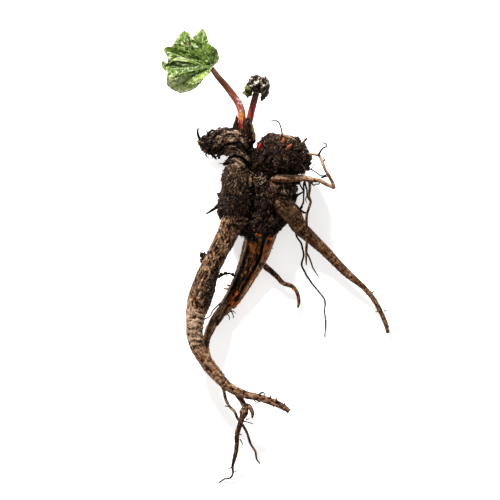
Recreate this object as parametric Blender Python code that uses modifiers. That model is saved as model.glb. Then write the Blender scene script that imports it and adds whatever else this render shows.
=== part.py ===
"""A young rhubarb crown, dug up whole in early spring and lying on a table.

The plant lies flat: +Y runs up it from the root tips to the leaves, +X to its right, and the table is
z = 0. The origin is on the table under the middle of the plant. Points and sizes are in millimetres
and become metres where a mesh is made. A route is a list of (x, y, z, radius).
"""

import math

import bmesh
import bpy
import numpy as np
from mathutils import Matrix, Vector, noise
from mathutils.geometry import delaunay_2d_cdt

MM = 0.001
FIT_GAP = 0.3
SOIL_GAP = 0.5
TABLE_BLOCK = 200.0
LEAF_THICKNESS = 0.8

# Storage roots
LEFT_ROOT = [
    (-33, 50.5, 38, 9), (-43.5, 34.5, 38, 10.6), (-50.5, 18.5, 37, 9.8), (-58.3, 3.5, 36, 9.3),
    (-65, -10.5, 35, 9.8), (-70.4, -24.5, 34.5, 10.8), (-75, -39.5, 34, 11.7), (-78, -49.5, 34, 11.2),
    (-80.7, -59.5, 33.5, 9.6), (-81.5, -69.5, 33, 8.6), (-81, -79.5, 32.5, 7.9), (-79, -88.5, 32, 7.3),
    (-74.5, -98.5, 32, 6.7), (-67, -110, 32, 6.1), (-58.5, -120, 32, 5.5), (-49.5, -129, 32, 4.8),
    (-39, -135.3, 32, 4.3), (-28, -139.1, 32, 3.8), (-17, -141.5, 31.5, 3.5), (-5.5, -145.2, 31, 3.4),
    (5, -149.5, 30, 3.1), (13.5, -155, 29, 2.4),
]
MIDDLE_ROOT = [
    (-18, 42.5, 28, 13), (-19, 28.5, 25, 12.5), (-21, 16.5, 21.5, 10.5), (-24.5, 4.5, 18, 9.6),
    (-28.5, -7.5, 15, 8.8), (-33, -19.5, 12.5, 8.2), (-38.5, -30.5, 11, 7.4), (-44.5, -41.5, 10, 6.6),
    (-51, -51.5, 9.5, 5.8), (-58, -60.5, 9.5, 5.2), (-64.5, -70.5, 11, 4.2), (-68.5, -79.5, 14, 3.3),
    (-70.2, -88.5, 18, 2.5), (-69, -96.5, 22, 2), (-65, -104.5, 25, 1.6), (-58.5, -112.5, 27.5, 1.3),
    (-52, -119.5, 29, 0.8),
]
MIDDLE_STRAND = [
    (-4, 36.5, 29, 7), (-5, 22.5, 24, 5.5), (-8.5, 10.5, 20, 4.8), (-13, -1.5, 16.5, 4.2),
    (-18.5, -12, 14, 3.8), (-25, -22.5, 12.5, 3.6), (-31, -33, 11, 3.1), (-37.5, -43.5, 10, 2.5),
    (-43.5, -52, 9, 1.6),
]
RIGHT_ROOT = [
    (-8, 72, 36, 9), (0, 61, 37, 10.6), (8.5, 50, 34, 10.4), (16, 42.5, 29.5, 9.2),
    (23, 30.5, 24, 7.8), (35.5, 18.5, 19, 6.1), (48.5, 6.5, 16, 5.1), (60, -5.5, 14, 4.6),
    (71.5, -17, 13, 4.1), (80.5, -24.5, 12.5, 3.3), (88, -31, 12, 2.7), (94.5, -38, 12, 2.5),
    (101, -47.5, 12, 2.4), (106.5, -58, 11.5, 2.3), (110.5, -68, 11, 2), (112.7, -77, 10, 1.5),
]

# Crown: the creeping rhizome on the left with its folded knob, the lumps that it grew into, and the
# stumps of old leaf bases that lie over it like shells
RHIZOME = [
    (-32.5, 127.5, 47, 8.5), (-32, 119.5, 45.5, 10.2), (-32.5, 111.5, 43.5, 11.4), (-33.5, 104.5, 41.5, 11.6),
    (-34.5, 96.5, 39, 12.8), (-35.3, 88.5, 37, 13.2), (-37, 76.5, 35.5, 14.8), (-38, 62.5, 34.5, 16.2),
    (-39, 50.5, 34, 16.6), (-39.5, 42.5, 34, 16), (-39.5, 36, 34.5, 14.2), (-41, 28.5, 35.5, 13),
]
LEFT_KNOB = [
    (-30, 113.5, 44, 13), (-42, 114, 44.5, 14), (-52, 115, 45, 12.3), (-60, 113, 45.5, 11.3),
    (-67, 112.5, 46, 9.3), (-73, 114, 46.5, 6.8), (-76, 114.5, 46.5, 4),
]
CROWN_LUMPS = [
    ((-20.5, 57.5, 21.5), (35.5, 38.5, 24)),
    ((4, 102.5, 38), (26.5, 17.5, 26)),
    ((16, 96.5, 36), (17, 16, 22)),
    ((-5.5, 109.5, 40), (9, 11, 18)),
    ((7.5, 66, 27), (12, 17, 19)),
    ((-18, 96.5, 34), (12, 14, 20)),
    ((-14, 35.5, 27), (18, 16, 17)),
    ((6, 85, 26), (13, 10, 16)),
    ((3, 66, 37), (9, 10.5, 10)),
]
CROWN_VOXEL = 5.0
CRUMB_SIZE, CRUMB_DEPTH = 9.0, 2.0
LEAF_BASES = [
    ((-41, 121, 50), (10, 7.5, 8), -0.35),
    ((-36, 107.5, 48), (10.5, 8, 8), -0.5),
    ((-24, 97, 46), (9, 7.5, 7.5), -0.9),
    ((-38, 65.5, 39.5), (16.2, 29.5, 16), 0.1),
]

# Bark: how many ridges go round a root, how far each runs along it, and the length of a swelling
RIDGES_ROUND = 2.2
RIDGE_RUN = 38.0
SWELLING_RUN = 13.0
# Each storage root: route, sides, ring spacing, seed, depths of ridges and swellings, twist per millimetre
STORAGE_ROOTS = {
    "left_root": (LEFT_ROOT, 12, 5.5, 2.0, 0.11, 0.05, 0.012),
    "middle_root": (MIDDLE_ROOT, 10, 6.0, 6.0, 0.12, 0.05, 0.0),
    "middle_strand": (MIDDLE_STRAND, 8, 6.5, 8.0, 0.1, 0.06, 0.0),
    "right_root": (RIGHT_ROOT, 9, 6.0, 11.0, 0.07, 0.04, 0.0),
}
# Each folded stretch of the rhizome: route, sides, ring spacing, seed, collar spacing, depth and lean
FOLDED_PARTS = {
    "rhizome": (RHIZOME, 16, 4.6, 1.0, 15.0, 0.08, 0.3),
    "left_knob": (LEFT_KNOB, 14, 3.5, 4.0, 7.5, 0.22, 0.1),
}

# Side roots and fibrous roots
THICK_RADIUS = 1.3
FINE_RIDGE, FINE_KNOT = 0.06, 0.1
FINE_ROOTS = {
    "side_root": [
        (-10, 77, 40, 3.4), (-1, 78.3, 45, 3.5), (14, 78, 47, 3.5), (27, 78.3, 47, 3), (36, 76.5, 46.5, 2.5),
        (43, 76, 46, 2.1), (50, 72.5, 45.5, 2), (59, 68.3, 45, 1.7),
    ],
    "return_root": [
        (58.5, 68.5, 45, 1.6), (56.4, 74.4, 46.5, 1.6), (53, 80.5, 48.5, 1.5), (49, 87.3, 50, 1.4),
        (46, 94.8, 50, 1.4), (43, 101, 48, 1.4), (37.4, 102.2, 46, 1.2), (26, 102.5, 43, 1.3),
    ],
    "hook_root": [
        (42, 101, 48, 1), (47, 108.2, 50, 0.8), (50.8, 110.6, 51, 0.7), (48, 113.5, 51.5, 0.6),
        (46.3, 113.2, 51, 0.6),
    ],
    "upper_wire": [
        (29, 89, 42, 0.7), (37, 86.2, 45, 0.6), (41.7, 83, 47, 0.6), (44.6, 80.8, 48, 0.6),
        (47.5, 80.8, 48.5, 0.6), (51, 82, 49, 0.6),
    ],
    "hanging_root": [
        (33, 80, 46, 1.4), (33.8, 68.6, 44, 1.3), (33, 60, 42, 1.2), (34.7, 54.6, 40, 1.2),
        (33.8, 51, 38.5, 1.2), (30.9, 41.9, 36, 1.3), (30.7, 30, 33, 1.3), (31, 16.6, 30, 1.3),
        (30.5, 6.5, 27, 1.2), (30.3, -2, 24, 0.9), (30.5, -8.5, 22, 0.6),
    ],
    "hanging_branch": [(30.4, 5, 26, 0.9), (34, -2.5, 22, 0.8), (37.5, -12, 17, 0.7), (43, -20.5, 13, 0.5)],
    "dark_wire": [
        (30, 78, 45, 0.9), (27.7, 72.5, 42, 0.8), (28, 66, 39, 0.8), (27.7, 61, 36, 0.8),
        (27.5, 54.6, 34, 0.8), (24.8, 48.9, 31, 0.8), (21, 42, 25, 0.8),
    ],
    "cross_wire": [(16, 54, 30, 0.9), (21, 50, 31, 0.9), (26, 45.5, 32, 0.9), (32, 42.5, 36, 0.7)],
    "long_wire": [
        (19, 28, 17, 1), (21.5, 18.9, 12, 0.9), (25.7, 12.8, 10, 0.9), (26.6, 8.7, 9, 0.9), (28, 1.5, 8, 0.9),
        (26, -8.5, 7, 0.9), (29, -15.5, 6.5, 0.9), (36, -26.5, 6, 0.9), (44, -36.5, 5, 0.8),
        (49, -43.5, 4.5, 0.8), (49, -55.5, 3.5, 0.7), (50, -68.5, 2.5, 0.7), (49, -81.5, 1.6, 0.5),
    ],
    "bridge_wire": [
        (14, 37, 22, 0.9), (9.4, 32, 20, 0.8), (2.7, 25.8, 19, 0.8), (0, 22, 20, 0.8), (-4, 20, 22, 0.8),
    ],
    "lower_side_root": [
        (-16, -3, 14, 3.2), (-12, -8.5, 12, 3), (-0.3, -19, 10, 2.6), (7.3, -26.7, 9, 2.2), (17, -30.5, 8, 2),
        (21.7, -37.3, 7, 1.8), (23, -44.5, 5.5, 1.6), (22.2, -51.5, 4, 1.2),
    ],
    "slack_wire": [
        (-52, -44, 10, 0.7), (-58.2, -49.1, 13, 0.6), (-63, -54, 17, 0.6), (-66, -59.5, 22, 0.6),
        (-73, -63.5, 29, 0.6),
    ],
    "fork_root": [
        (-43, -132, 31, 2.4), (-38.2, -139.5, 30, 2.5), (-33.6, -145.5, 29, 2.6), (-31.3, -151, 28, 3.2),
        (-32, -156.3, 27, 4.6), (-33.6, -161, 25, 3), (-36, -168.5, 23, 2.5), (-39, -178.5, 20, 2.4),
        (-39.3, -190, 16, 2.2), (-41.2, -201.5, 12, 2), (-43.5, -210.7, 8, 1.4), (-43.5, -219, 5, 1),
        (-46, -222.9, 3.2, 0.9), (-51.2, -223.8, 2, 0.8), (-57.5, -227.6, 1, 0.6),
    ],
    "fork_arm": [
        (-31, -149, 28, 2.2), (-27, -150.3, 29, 2.2), (-23.6, -156.3, 28, 1.9), (-23.6, -162.5, 27, 1),
    ],
    "fork_spur": [(-33, -165, 24.5, 0.8), (-28, -166.2, 25, 0.7), (-22.5, -168.3, 25, 0.6)],
    "slim_branch": [
        (-54, -127.5, 33, 1.7), (-52, -135.5, 32, 1.5), (-50.4, -142.5, 31, 1.5), (-46.6, -150.2, 30.5, 1.4),
        (-42, -154.8, 30, 1.4), (-38.2, -162.5, 29, 1.4), (-33.6, -168.5, 27.5, 1.4), (-29, -177, 25, 1.3),
        (-25.1, -188.5, 21, 1.1), (-20.6, -196.1, 18, 1), (-19, -203.8, 15, 0.8), (-16, -208, 13, 0.6),
    ],
    "left_thorn": [(-48, 58, 31, 2), (-54.8, 53.7, 30, 1.5), (-61, 48.5, 29.5, 1.1), (-70, 42.5, 29, 0.5)],
    "right_twig": [(22, 108, 44, 1.2), (26.8, 113.9, 48, 1.2), (30.7, 118.1, 51, 1.2)],
    "top_hair": [
        (6, 116, 52, 0.8), (5.8, 124, 56, 0.7), (4.4, 130, 58, 0.7), (2, 134.6, 59, 0.7),
        (-5, 135.5, 59, 0.6),
    ],
    "knob_rib": [(4, 120.5, 46, 1.6), (11, 119.8, 49, 1.7), (19, 115, 50, 1.6), (27, 106.5, 48, 1.5)],
    "shred_tall": [(-72, 113, 47, 2), (-77, 119, 49, 1.5), (-78.3, 124.5, 51, 1.1), (-77.6, 129, 52, 0.6)],
    "shred_top": [(-70, 117, 49, 1.4), (-67.5, 123.5, 51, 1.2), (-62.5, 127, 52, 0.6)],
    "shred_low": [(-66, 107, 42, 2.2), (-62.5, 101, 38, 1.5), (-59.5, 97.4, 36, 0.7)],
    "shred_root": [(-58, 106, 40, 2), (-57.2, 100.2, 37, 1.4), (-56.5, 98, 35, 0.8)],
    "scar_stub": [(-45, 97, 38, 2.4), (-51, 92.8, 36.5, 1.9), (-53, 91.8, 36, 1.2)],
}

# Leaf stalks, with the bud scales and buds at their foot
STALK_GROOVE = 0.12
GROOVE_HALF_ANGLE = 0.55
STALK_RIBS = 5
BUD_RIDGE = 0.12
OPEN_STALK = [
    (-34.2, 120, 46, 3), (-34.8, 130.5, 48.5, 3.2), (-34, 137.5, 50.5, 3.7), (-34.5, 144.5, 52.5, 3.8),
    (-37.8, 153.5, 55.5, 3.6), (-44, 162.5, 58.5, 3.4), (-52, 172.5, 62, 3.1), (-59, 180.5, 65, 2.8),
    (-62.8, 185.8, 65.9, 2.5), (-66.2, 191.2, 65.9, 1.7),
]
YOUNG_STALK = [
    (-27.5, 120, 44.5, 2.6), (-27.3, 130.5, 46.5, 2.8), (-25.5, 139.5, 49, 2.9), (-23.5, 148.5, 52, 2.8),
    (-21.5, 156.5, 55, 2.7), (-19.6, 163.5, 57.5, 2.5), (-18.5, 167.5, 58.8, 2),
]
BUD_PIECES = {
    "bud_scale_spike": [
        (-40.6, 119, 47, 2.4), (-40.8, 127, 50, 2.4), (-39.8, 134, 53, 1.7), (-38.7, 141.8, 56, 0.5),
    ],
    "bud_scale_dark": [
        (-29, 120, 51.5, 2.6), (-28.7, 128, 54, 3.4), (-28.5, 134.5, 55.8, 3.2), (-27.7, 139, 56.6, 1.5),
    ],
    "bud_scale_ochre": [
        (-23.8, 117, 46.8, 1.9), (-24.2, 124.5, 49.3, 2.2), (-24.6, 129.5, 50.6, 1.8), (-25, 133, 51.8, 0.6),
    ],
    "bud_neck": [(-16.5, 106, 44, 2), (-15.8, 109.2, 51, 2.3), (-15.6, 112.5, 55, 0.8)],
    "bud_knob_upper": [(7.6, 111.5, 54, 1.4), (7.3, 115.2, 59.9, 1.9), (7, 118.6, 59.4, 0.6)],
    "bud_knob_lower": [(9.5, 105, 63.4, 1), (12.7, 109, 64.4, 1.9), (15.6, 112, 61.8, 0.8)],
}

# Soil: chains of crumbs (x, y, z, radius)
SOIL_CLODS = {
    "soil_crevice": [(-20, 84, 42, 7), (-15, 73, 42, 9), (-8, 60, 43, 9.5), (-13, 47, 40, 9)],
    "soil_knob_crust": [(-3, 105, 56, 9.5), (8, 100, 57.5, 11), (17, 97, 53.5, 9.5)],
    "soil_left_clod": [(-73.2, 1.5, 34, 3.3), (-72.2, -2.2, 34.5, 3.2)],
    "soil_bridge": [
        (-58, -20, 30, 2.4), (-54.6, -17.6, 26.5, 2.1), (-50.5, -16.8, 23, 2.2), (-46.6, -17.2, 19.5, 2.1),
        (-42.5, -17.8, 16.5, 2.4),
    ],
}

# Open leaf: its outline from the stalk round the lobes, and where its ribs end
LEAF_FOOT = (-64, 189.5, 68.6)
LEAF_OUTLINE = [
    (-56.8, 195.7), (-56.5, 198.2), (-58.7, 205.9), (-62.2, 209.1), (-67.6, 212.9), (-68.3, 218.6),
    (-70.5, 224.4), (-73.1, 228.2), (-75.6, 225.7), (-80.1, 221.8), (-83.9, 217.4), (-85.2, 219.3),
    (-86.5, 223.7), (-91.6, 225.3), (-94.7, 223.4), (-98.6, 218.1), (-101.8, 212.9), (-103.7, 209.1),
    (-107.5, 209.7), (-111, 208.4), (-112.3, 205.2), (-109.4, 200.8), (-107.5, 195.7), (-108.8, 191.9),
    (-111.3, 195), (-114.2, 195), (-114.2, 190.6), (-111.3, 184.8), (-108.1, 183.6), (-109.4, 176.5),
    (-108.8, 170.2), (-103.7, 166.3), (-95.4, 162.8), (-87.7, 164.4), (-80.1, 167.6), (-75, 172.7),
    (-71.8, 177.8), (-66, 182.3), (-63.6, 187.8),
]
LEAF_RIBS = [(-73, 226), (-89, 222), (-110, 206), (-112, 190), (-101, 169), (-58, 203)]
LEAF_MESH_STEP = 3.0
# How the blade stands: its slope at the foot and how fast that falls off, the quilting between its ribs,
# the two crests and the valley of the fold in its left half, its drooping margins, and its puckers
LEAF_SLOPE, LEAF_BEND = 0.16, 0.0042
QUILT_HEIGHT, QUILT_REACH, QUILT_START = 3.2, 5.0, 14.0
FOLD_EDGE_X, FOLD_EDGE_SOFTNESS = -84.0, 2.5
CREST_LINES, CREST_HEIGHT, CREST_WIDTH = (199.0, 191.5), 3.6, 2.2
VALLEY_LINE, VALLEY_DEPTH, VALLEY_WIDTH = 195.3, 3.0, 2.0
LOWER_MARGIN_Y, LOWER_DROOP = 181.0, 0.055
LOBE_TIPS_Y, LOBE_DROOP = 213.0, 0.03
RIGHT_MARGIN_X, RIGHT_DROOP = -66.0, 0.04
PUCKER_SIZE, PUCKER_HEIGHT = 5.5, 1.1

# Young leaf: a crumpled core with rolled margins
YOUNG_VOXEL = 1.9
CORE_CRUMPLE = (3.4, 1.7)
SKIN_CRUMPLE = (4.6, 0.9)
YOUNG_CORE = ((-15.5, 171.5, 62.5), (8.2, 8.6, 7))
YOUNG_ROLLS = [
    [
        (-19, 168, 62, 2.6), (-24, 172, 64, 3.2), (-27.5, 168.5, 63, 3), (-30.5, 163.5, 61, 2.6),
        (-32.5, 162, 59.5, 1.2),
    ],
    [(-22, 168, 60, 2.4), (-26, 164.5, 59.5, 2.6), (-27.8, 160.5, 58, 2), (-28.7, 157.2, 57, 0.9)],
    [
        (-24, 170, 65, 2.2), (-23.5, 176.5, 66.5, 2.6), (-20, 178, 67, 2.4), (-15, 176.5, 67.5, 2.3),
        (-10.5, 177.8, 66, 2.2), (-9, 172.5, 65.5, 2.2), (-9.4, 166, 63, 2),
    ],
    [(-10.5, 172, 61, 3.2), (-10.5, 165, 60, 3.2), (-12.5, 159.5, 58, 2.3), (-14.2, 156, 57, 0.8)],
    [(-21, 173, 68, 1.8), (-16.5, 172.5, 69.8, 2), (-13, 169, 69, 2), (-13.5, 164, 66, 1.6)],
]


def make_material(name, colour, roughness):
    material = bpy.data.materials.new(name)
    material.use_nodes = True
    shader = material.node_tree.nodes["Principled BSDF"]
    shader.inputs["Base Color"].default_value = (*colour, 1.0)
    shader.inputs["Roughness"].default_value = roughness
    shader.inputs["Metallic"].default_value = 0.0
    return material


def new_object(name, mesh, collection, material=None):
    obj = bpy.data.objects.new(name, mesh)
    collection.objects.link(obj)
    if material:
        mesh.materials.clear()
        mesh.materials.append(material)
    return obj


def mesh_from_bmesh(name, bm):
    """Turns a bmesh in millimetres into a mesh in metres."""
    bmesh.ops.recalc_face_normals(bm, faces=bm.faces)
    bmesh.ops.scale(bm, vec=(MM, MM, MM), verts=bm.verts)
    mesh = bpy.data.meshes.new(name)
    bm.to_mesh(mesh)
    bm.free()
    return mesh


def evaluated_mesh(obj):
    """A mesh of the object as its modifiers leave it."""
    graph = bpy.context.evaluated_depsgraph_get()
    return bpy.data.meshes.new_from_object(obj.evaluated_get(graph), depsgraph=graph)


def smooth_route(route, step):
    """Samples (x, y, z, radius) about a step apart on the smooth curve through a route's points."""
    points = np.array(route, float)
    gaps = np.linalg.norm(np.diff(points[:, :3], axis=0), axis=1)
    reach = np.concatenate(([0.0], np.cumsum(gaps)))
    slopes = np.gradient(points, reach, axis=0)
    samples = []
    for distance in np.linspace(0, reach[-1], max(2, round(reach[-1] / step)) + 1):
        k = min(int(np.searchsorted(reach, distance, side="right")) - 1, len(gaps) - 1)
        t = (distance - reach[k]) / gaps[k]
        samples.append(
            (1 + 2 * t) * (1 - t) ** 2 * points[k] + t * (1 - t) ** 2 * gaps[k] * slopes[k]
            + t * t * (3 - 2 * t) * points[k + 1] - t * t * (1 - t) * gaps[k] * slopes[k + 1]
        )
    return np.array(samples)


def carried_frames(centres):
    """A side and an up direction for each ring, carried along the route without twisting."""
    tangents = np.gradient(centres, axis=0)
    tangents /= np.linalg.norm(tangents, axis=1)[:, None]
    up = np.array((0.0, 0.0, 1.0))
    if abs(tangents[0][2]) > 0.9:
        up = np.array((0.0, 1.0, 0.0))
    frames = []
    for tangent in tangents:
        up = up - tangent * np.dot(up, tangent)
        up /= np.linalg.norm(up)
        frames.append((np.cross(up, tangent), up))
    return frames


def loft(name, route, sides, step, relief=None):
    """A closed tube along a route. relief(distance, angle) is the share by which its radius changes."""
    samples = smooth_route(route, step)
    centres, radii = samples[:, :3], samples[:, 3]
    walked = np.concatenate(([0.0], np.cumsum(np.linalg.norm(np.diff(centres, axis=0), axis=1))))
    bm = bmesh.new()
    rings = []
    for centre, radius, distance, (side, up) in zip(centres, radii, walked, carried_frames(centres)):
        ring = []
        for k in range(sides):
            angle = math.tau * k / sides
            reach = radius * (1 + relief(distance, angle)) if relief else radius
            ring.append(bm.verts.new(centre + reach * (math.cos(angle) * side + math.sin(angle) * up)))
        rings.append(ring)
    for low, high in zip(rings, rings[1:]):
        for k in range(sides):
            bm.faces.new((low[k], low[(k + 1) % sides], high[(k + 1) % sides], high[k]))
    bm.faces.new(rings[0])
    bm.faces.new(rings[-1])
    return mesh_from_bmesh(name, bm)


def around(angle, turns, distance, length, shift):
    """Smooth noise that closes round a root: turns sets the ridges across, length their run along it."""
    return noise.noise(Vector((turns * math.cos(angle), turns * math.sin(angle), distance / length + shift)))


def bark(shift, ridge, knot, twist=0.0):
    """Relief of a storage root: lengthwise ridges that may wind round it, and slow swellings."""

    def relief(distance, angle):
        wound = angle + twist * distance
        ridges = 0.5 - 2.2 * abs(around(wound, RIDGES_ROUND, distance, RIDGE_RUN, shift))
        swelling = noise.noise(Vector((distance / SWELLING_RUN, shift, 0.0)))
        return ridge * ridges + knot * swelling

    return relief


def folds(shift, spacing, depth, lean=0.0):
    """Relief of the old rhizome: overlapping collars left by past leaves, each higher at its front edge."""

    def relief(distance, angle):
        wander = 0.35 * around(angle, 1.1, distance, 30.0, shift) + lean * math.sin(angle)
        phase = (distance / spacing + wander) % 1.0
        collar = phase ** 1.6 - 0.4
        return depth * collar + 0.05 * around(angle, 2.0, distance, 9.0, shift + 5.0)

    return relief


def crumbs(point, size, depth):
    """Height of rough soil at a point: two sizes of crumb."""
    finer = point / size * 2.3 + Vector((7.0, 3.0, 1.0))
    return depth * (noise.noise(point / size) + 0.5 * noise.noise(finer))


def roughen(mesh, size, depth):
    """Moves each vertex along its normal by the height of rough soil."""
    moves = [vertex.normal * crumbs(vertex.co / MM, size, depth) * MM for vertex in mesh.vertices]
    for vertex, move in zip(mesh.vertices, moves):
        vertex.co += move


def lumps_mesh(name, lumps, subdivisions):
    bm = bmesh.new()
    for centre, radii in lumps:
        found = bmesh.ops.create_icosphere(bm, subdivisions=subdivisions, radius=1.0)
        bmesh.ops.scale(bm, vec=radii, verts=found["verts"])
        bmesh.ops.translate(bm, vec=centre, verts=found["verts"])
    return mesh_from_bmesh(name, bm)


def joined(name, meshes):
    bm = bmesh.new()
    for mesh in meshes:
        bm.from_mesh(mesh)
    result = bpy.data.meshes.new(name)
    bm.to_mesh(result)
    bm.free()
    return result


def leaf_base_mesh(name, centre, radii, turn):
    """A stump of an old leaf base: a rounded shell, ringed by low scars, turned about +Z."""
    bm = bmesh.new()
    bmesh.ops.create_icosphere(bm, subdivisions=3 if max(radii) > 15 else 2, radius=1.0)
    for vertex in bm.verts:
        ring = math.sin(9.0 * vertex.co.y + 2.0 * noise.noise(vertex.co * 1.7))
        vertex.co *= 1.0 + 0.035 * ring + 0.06 * noise.noise(vertex.co * 2.3 + Vector(centre))
    bmesh.ops.scale(bm, vec=radii, verts=bm.verts)
    bmesh.ops.rotate(bm, cent=(0, 0, 0), matrix=Matrix.Rotation(turn, 3, "Z"), verts=bm.verts)
    bmesh.ops.translate(bm, vec=centre, verts=bm.verts)
    return mesh_from_bmesh(name, bm)


def fused(name, mesh, voxel, smoothing):
    """The shapes of a mesh joined into one skin of even faces."""
    obj = new_object(name, mesh, bpy.context.scene.collection)
    remesh = obj.modifiers.new("fuse", "REMESH")
    remesh.mode = "VOXEL"
    remesh.voxel_size = voxel * MM
    smooth = obj.modifiers.new("smooth", "SMOOTH")
    smooth.factor = 0.5
    smooth.iterations = smoothing
    result = evaluated_mesh(obj)
    bpy.data.objects.remove(obj)
    return result


def clear_collection(collection):
    for obj in list(collection.objects):
        bpy.data.objects.remove(obj)
    bpy.data.collections.remove(collection)


def outer_body(mesh):
    """Keeps a mesh's largest skin: sealed hollows are filled and loose scraps dropped."""
    bm = bmesh.new()
    bm.from_mesh(mesh)
    bmesh.ops.triangulate(bm, faces=bm.faces)
    unseen = set(bm.faces)
    skins = []
    while unseen:
        skin, front = [], [unseen.pop()]
        while front:
            face = front.pop()
            skin.append(face)
            plain = [edge for edge in face.edges if len(edge.link_faces) == 2]
            linked = {other for edge in plain for other in edge.link_faces} & unseen
            front += linked
            unseen -= linked
        skins.append(skin)
    skins.sort(key=len)
    bmesh.ops.delete(bm, geom=[face for skin in skins[:-1] for face in skin], context="FACES")
    bm.to_mesh(mesh)
    bm.free()
    return mesh


def combined(name, mesh, collection, operation):
    """One Boolean of a mesh with all of a collection's meshes, applied."""
    obj = new_object(name, mesh, bpy.context.scene.collection)
    boolean = obj.modifiers.new("combine", "BOOLEAN")
    boolean.operation = operation
    boolean.operand_type = "COLLECTION"
    boolean.collection = collection
    boolean.solver = "MANIFOLD"
    result = evaluated_mesh(obj)
    bpy.data.objects.remove(obj)
    return outer_body(result)


def union(name, mesh, others):
    """A mesh joined with others; the others' objects are made for it and then removed."""
    pieces = bpy.data.collections.new(name + "_pieces")
    bpy.context.scene.collection.children.link(pieces)
    for k, other in enumerate(others):
        new_object(f"{name}_piece_{k}", other, pieces)
    result = combined(name, mesh, pieces, "UNION")
    clear_collection(pieces)
    return result


def grown_copy(obj, gap, cutters):
    """A cutter a little larger than a piece, for the place that the piece sits in."""
    mesh = obj.data.copy()
    moves = [vertex.normal * gap * MM for vertex in mesh.vertices]
    for vertex, move in zip(mesh.vertices, moves):
        vertex.co += move
    cutter = new_object(obj.name + "_place", mesh, cutters)
    cutter.hide_render = True
    cutter.display_type = "WIRE"
    return cutter


def table_cutter(cutters):
    """A block under the table, which takes the crown's underside off flat."""
    bm = bmesh.new()
    bmesh.ops.create_cube(bm, size=1.0)
    bmesh.ops.scale(bm, vec=(3 * TABLE_BLOCK, 3 * TABLE_BLOCK, TABLE_BLOCK), verts=bm.verts)
    bmesh.ops.translate(bm, vec=(0, 0, -TABLE_BLOCK / 2), verts=bm.verts)
    cutter = new_object("table_block", mesh_from_bmesh("table_block", bm), cutters)
    cutter.hide_render = True
    cutter.display_type = "WIRE"
    return cutter


def make_rootstock(collection, cutters, material):
    crown = fused("crown", lumps_mesh("crown", CROWN_LUMPS, 4), CROWN_VOXEL, 2)
    roughen(crown, CRUMB_SIZE, CRUMB_DEPTH)
    pieces = []
    for name, (route, sides, step, *relief) in FOLDED_PARTS.items():
        pieces.append(loft(name, route, sides, step, folds(*relief)))
    for name, (route, sides, step, *relief) in STORAGE_ROOTS.items():
        pieces.append(loft(name, route, sides, step, bark(*relief)))
    pieces += [leaf_base_mesh(f"leaf_base_{k}", *base) for k, base in enumerate(LEAF_BASES)]
    for k, (name, route) in enumerate(FINE_ROOTS.items()):
        sides, step = (6, 6.0) if max(point[3] for point in route) > THICK_RADIUS else (5, 7.0)
        pieces.append(loft(name, route, sides, step, bark(20.0 + k, FINE_RIDGE, FINE_KNOT)))
    mesh = combined("rootstock", union("rootstock", crown, pieces), cutters, "DIFFERENCE")
    return new_object("rootstock", mesh, collection, material)


def bell(value, centre, width):
    """A smooth bump of height 1 round a centre."""
    return math.exp(-((value - centre) / width) ** 2)


def groove(depth):
    """Relief of a leaf stalk: a shallow channel along its upper side and fine ribs below."""

    def relief(distance, angle):
        channel = bell(angle, math.pi / 2, GROOVE_HALF_ANGLE)
        return -depth * channel + 0.3 * depth * math.cos(STALK_RIBS * angle)

    return relief


def resampled_loop(points, step):
    """Even steps round a closed outline."""
    loop = np.array(points + points[:1], float)
    samples = []
    for start, end in zip(loop, loop[1:]):
        count = max(1, round(np.linalg.norm(end - start) / step))
        samples += [start + (end - start) * k / count for k in range(count)]
    return np.array(samples)


def inside(point, loop):
    """Whether a point is inside a closed outline, by counting the edges to its right."""
    x, y = point
    ahead = np.roll(loop, -1, axis=0)
    crosses = (loop[:, 1] > y) != (ahead[:, 1] > y)
    rise = np.where(crosses, ahead[:, 1] - loop[:, 1], 1.0)
    crossing_x = loop[:, 0] + (y - loop[:, 1]) * (ahead[:, 0] - loop[:, 0]) / rise
    return np.count_nonzero(crosses & (x < crossing_x)) % 2 == 1


def blade_mesh(name, outline, step, height):
    """An open sheet of even triangles inside an outline, raised by height(x, y)."""
    loop = resampled_loop(outline, step)
    low, high = loop.min(axis=0), loop.max(axis=0)
    points = [Vector(point) for point in loop]
    row_step = step * math.sqrt(3) / 2
    for row in range(int((high[1] - low[1]) / row_step) + 1):
        for column in range(int((high[0] - low[0]) / step) + 2):
            point = np.array((low[0] + (column - 0.5 * (row % 2)) * step, low[1] + row * row_step))
            if inside(point, loop) and np.min(np.linalg.norm(loop - point, axis=1)) > 0.62 * step:
                points.append(Vector(point))
    edges = [(k, (k + 1) % len(loop)) for k in range(len(loop))]
    flat, _, faces, *_ = delaunay_2d_cdt(points, edges, [], 1, 1e-6)
    bm = bmesh.new()
    verts = [bm.verts.new((point.x, point.y, height(point.x, point.y))) for point in flat]
    for face in faces:
        bm.faces.new([verts[k] for k in face])
    return mesh_from_bmesh(name, bm)


def rib_distance(x, y):
    """How far a point of the leaf is from the nearest rib, in millimetres."""
    foot = Vector(LEAF_FOOT[:2])
    point = Vector((x, y)) - foot
    nearest = 1e9
    for end in LEAF_RIBS:
        rib = Vector(end) - foot
        along = min(max(point.dot(rib) / rib.length_squared, 0.0), 1.0)
        nearest = min(nearest, (point - rib * along).length)
    return nearest


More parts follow.
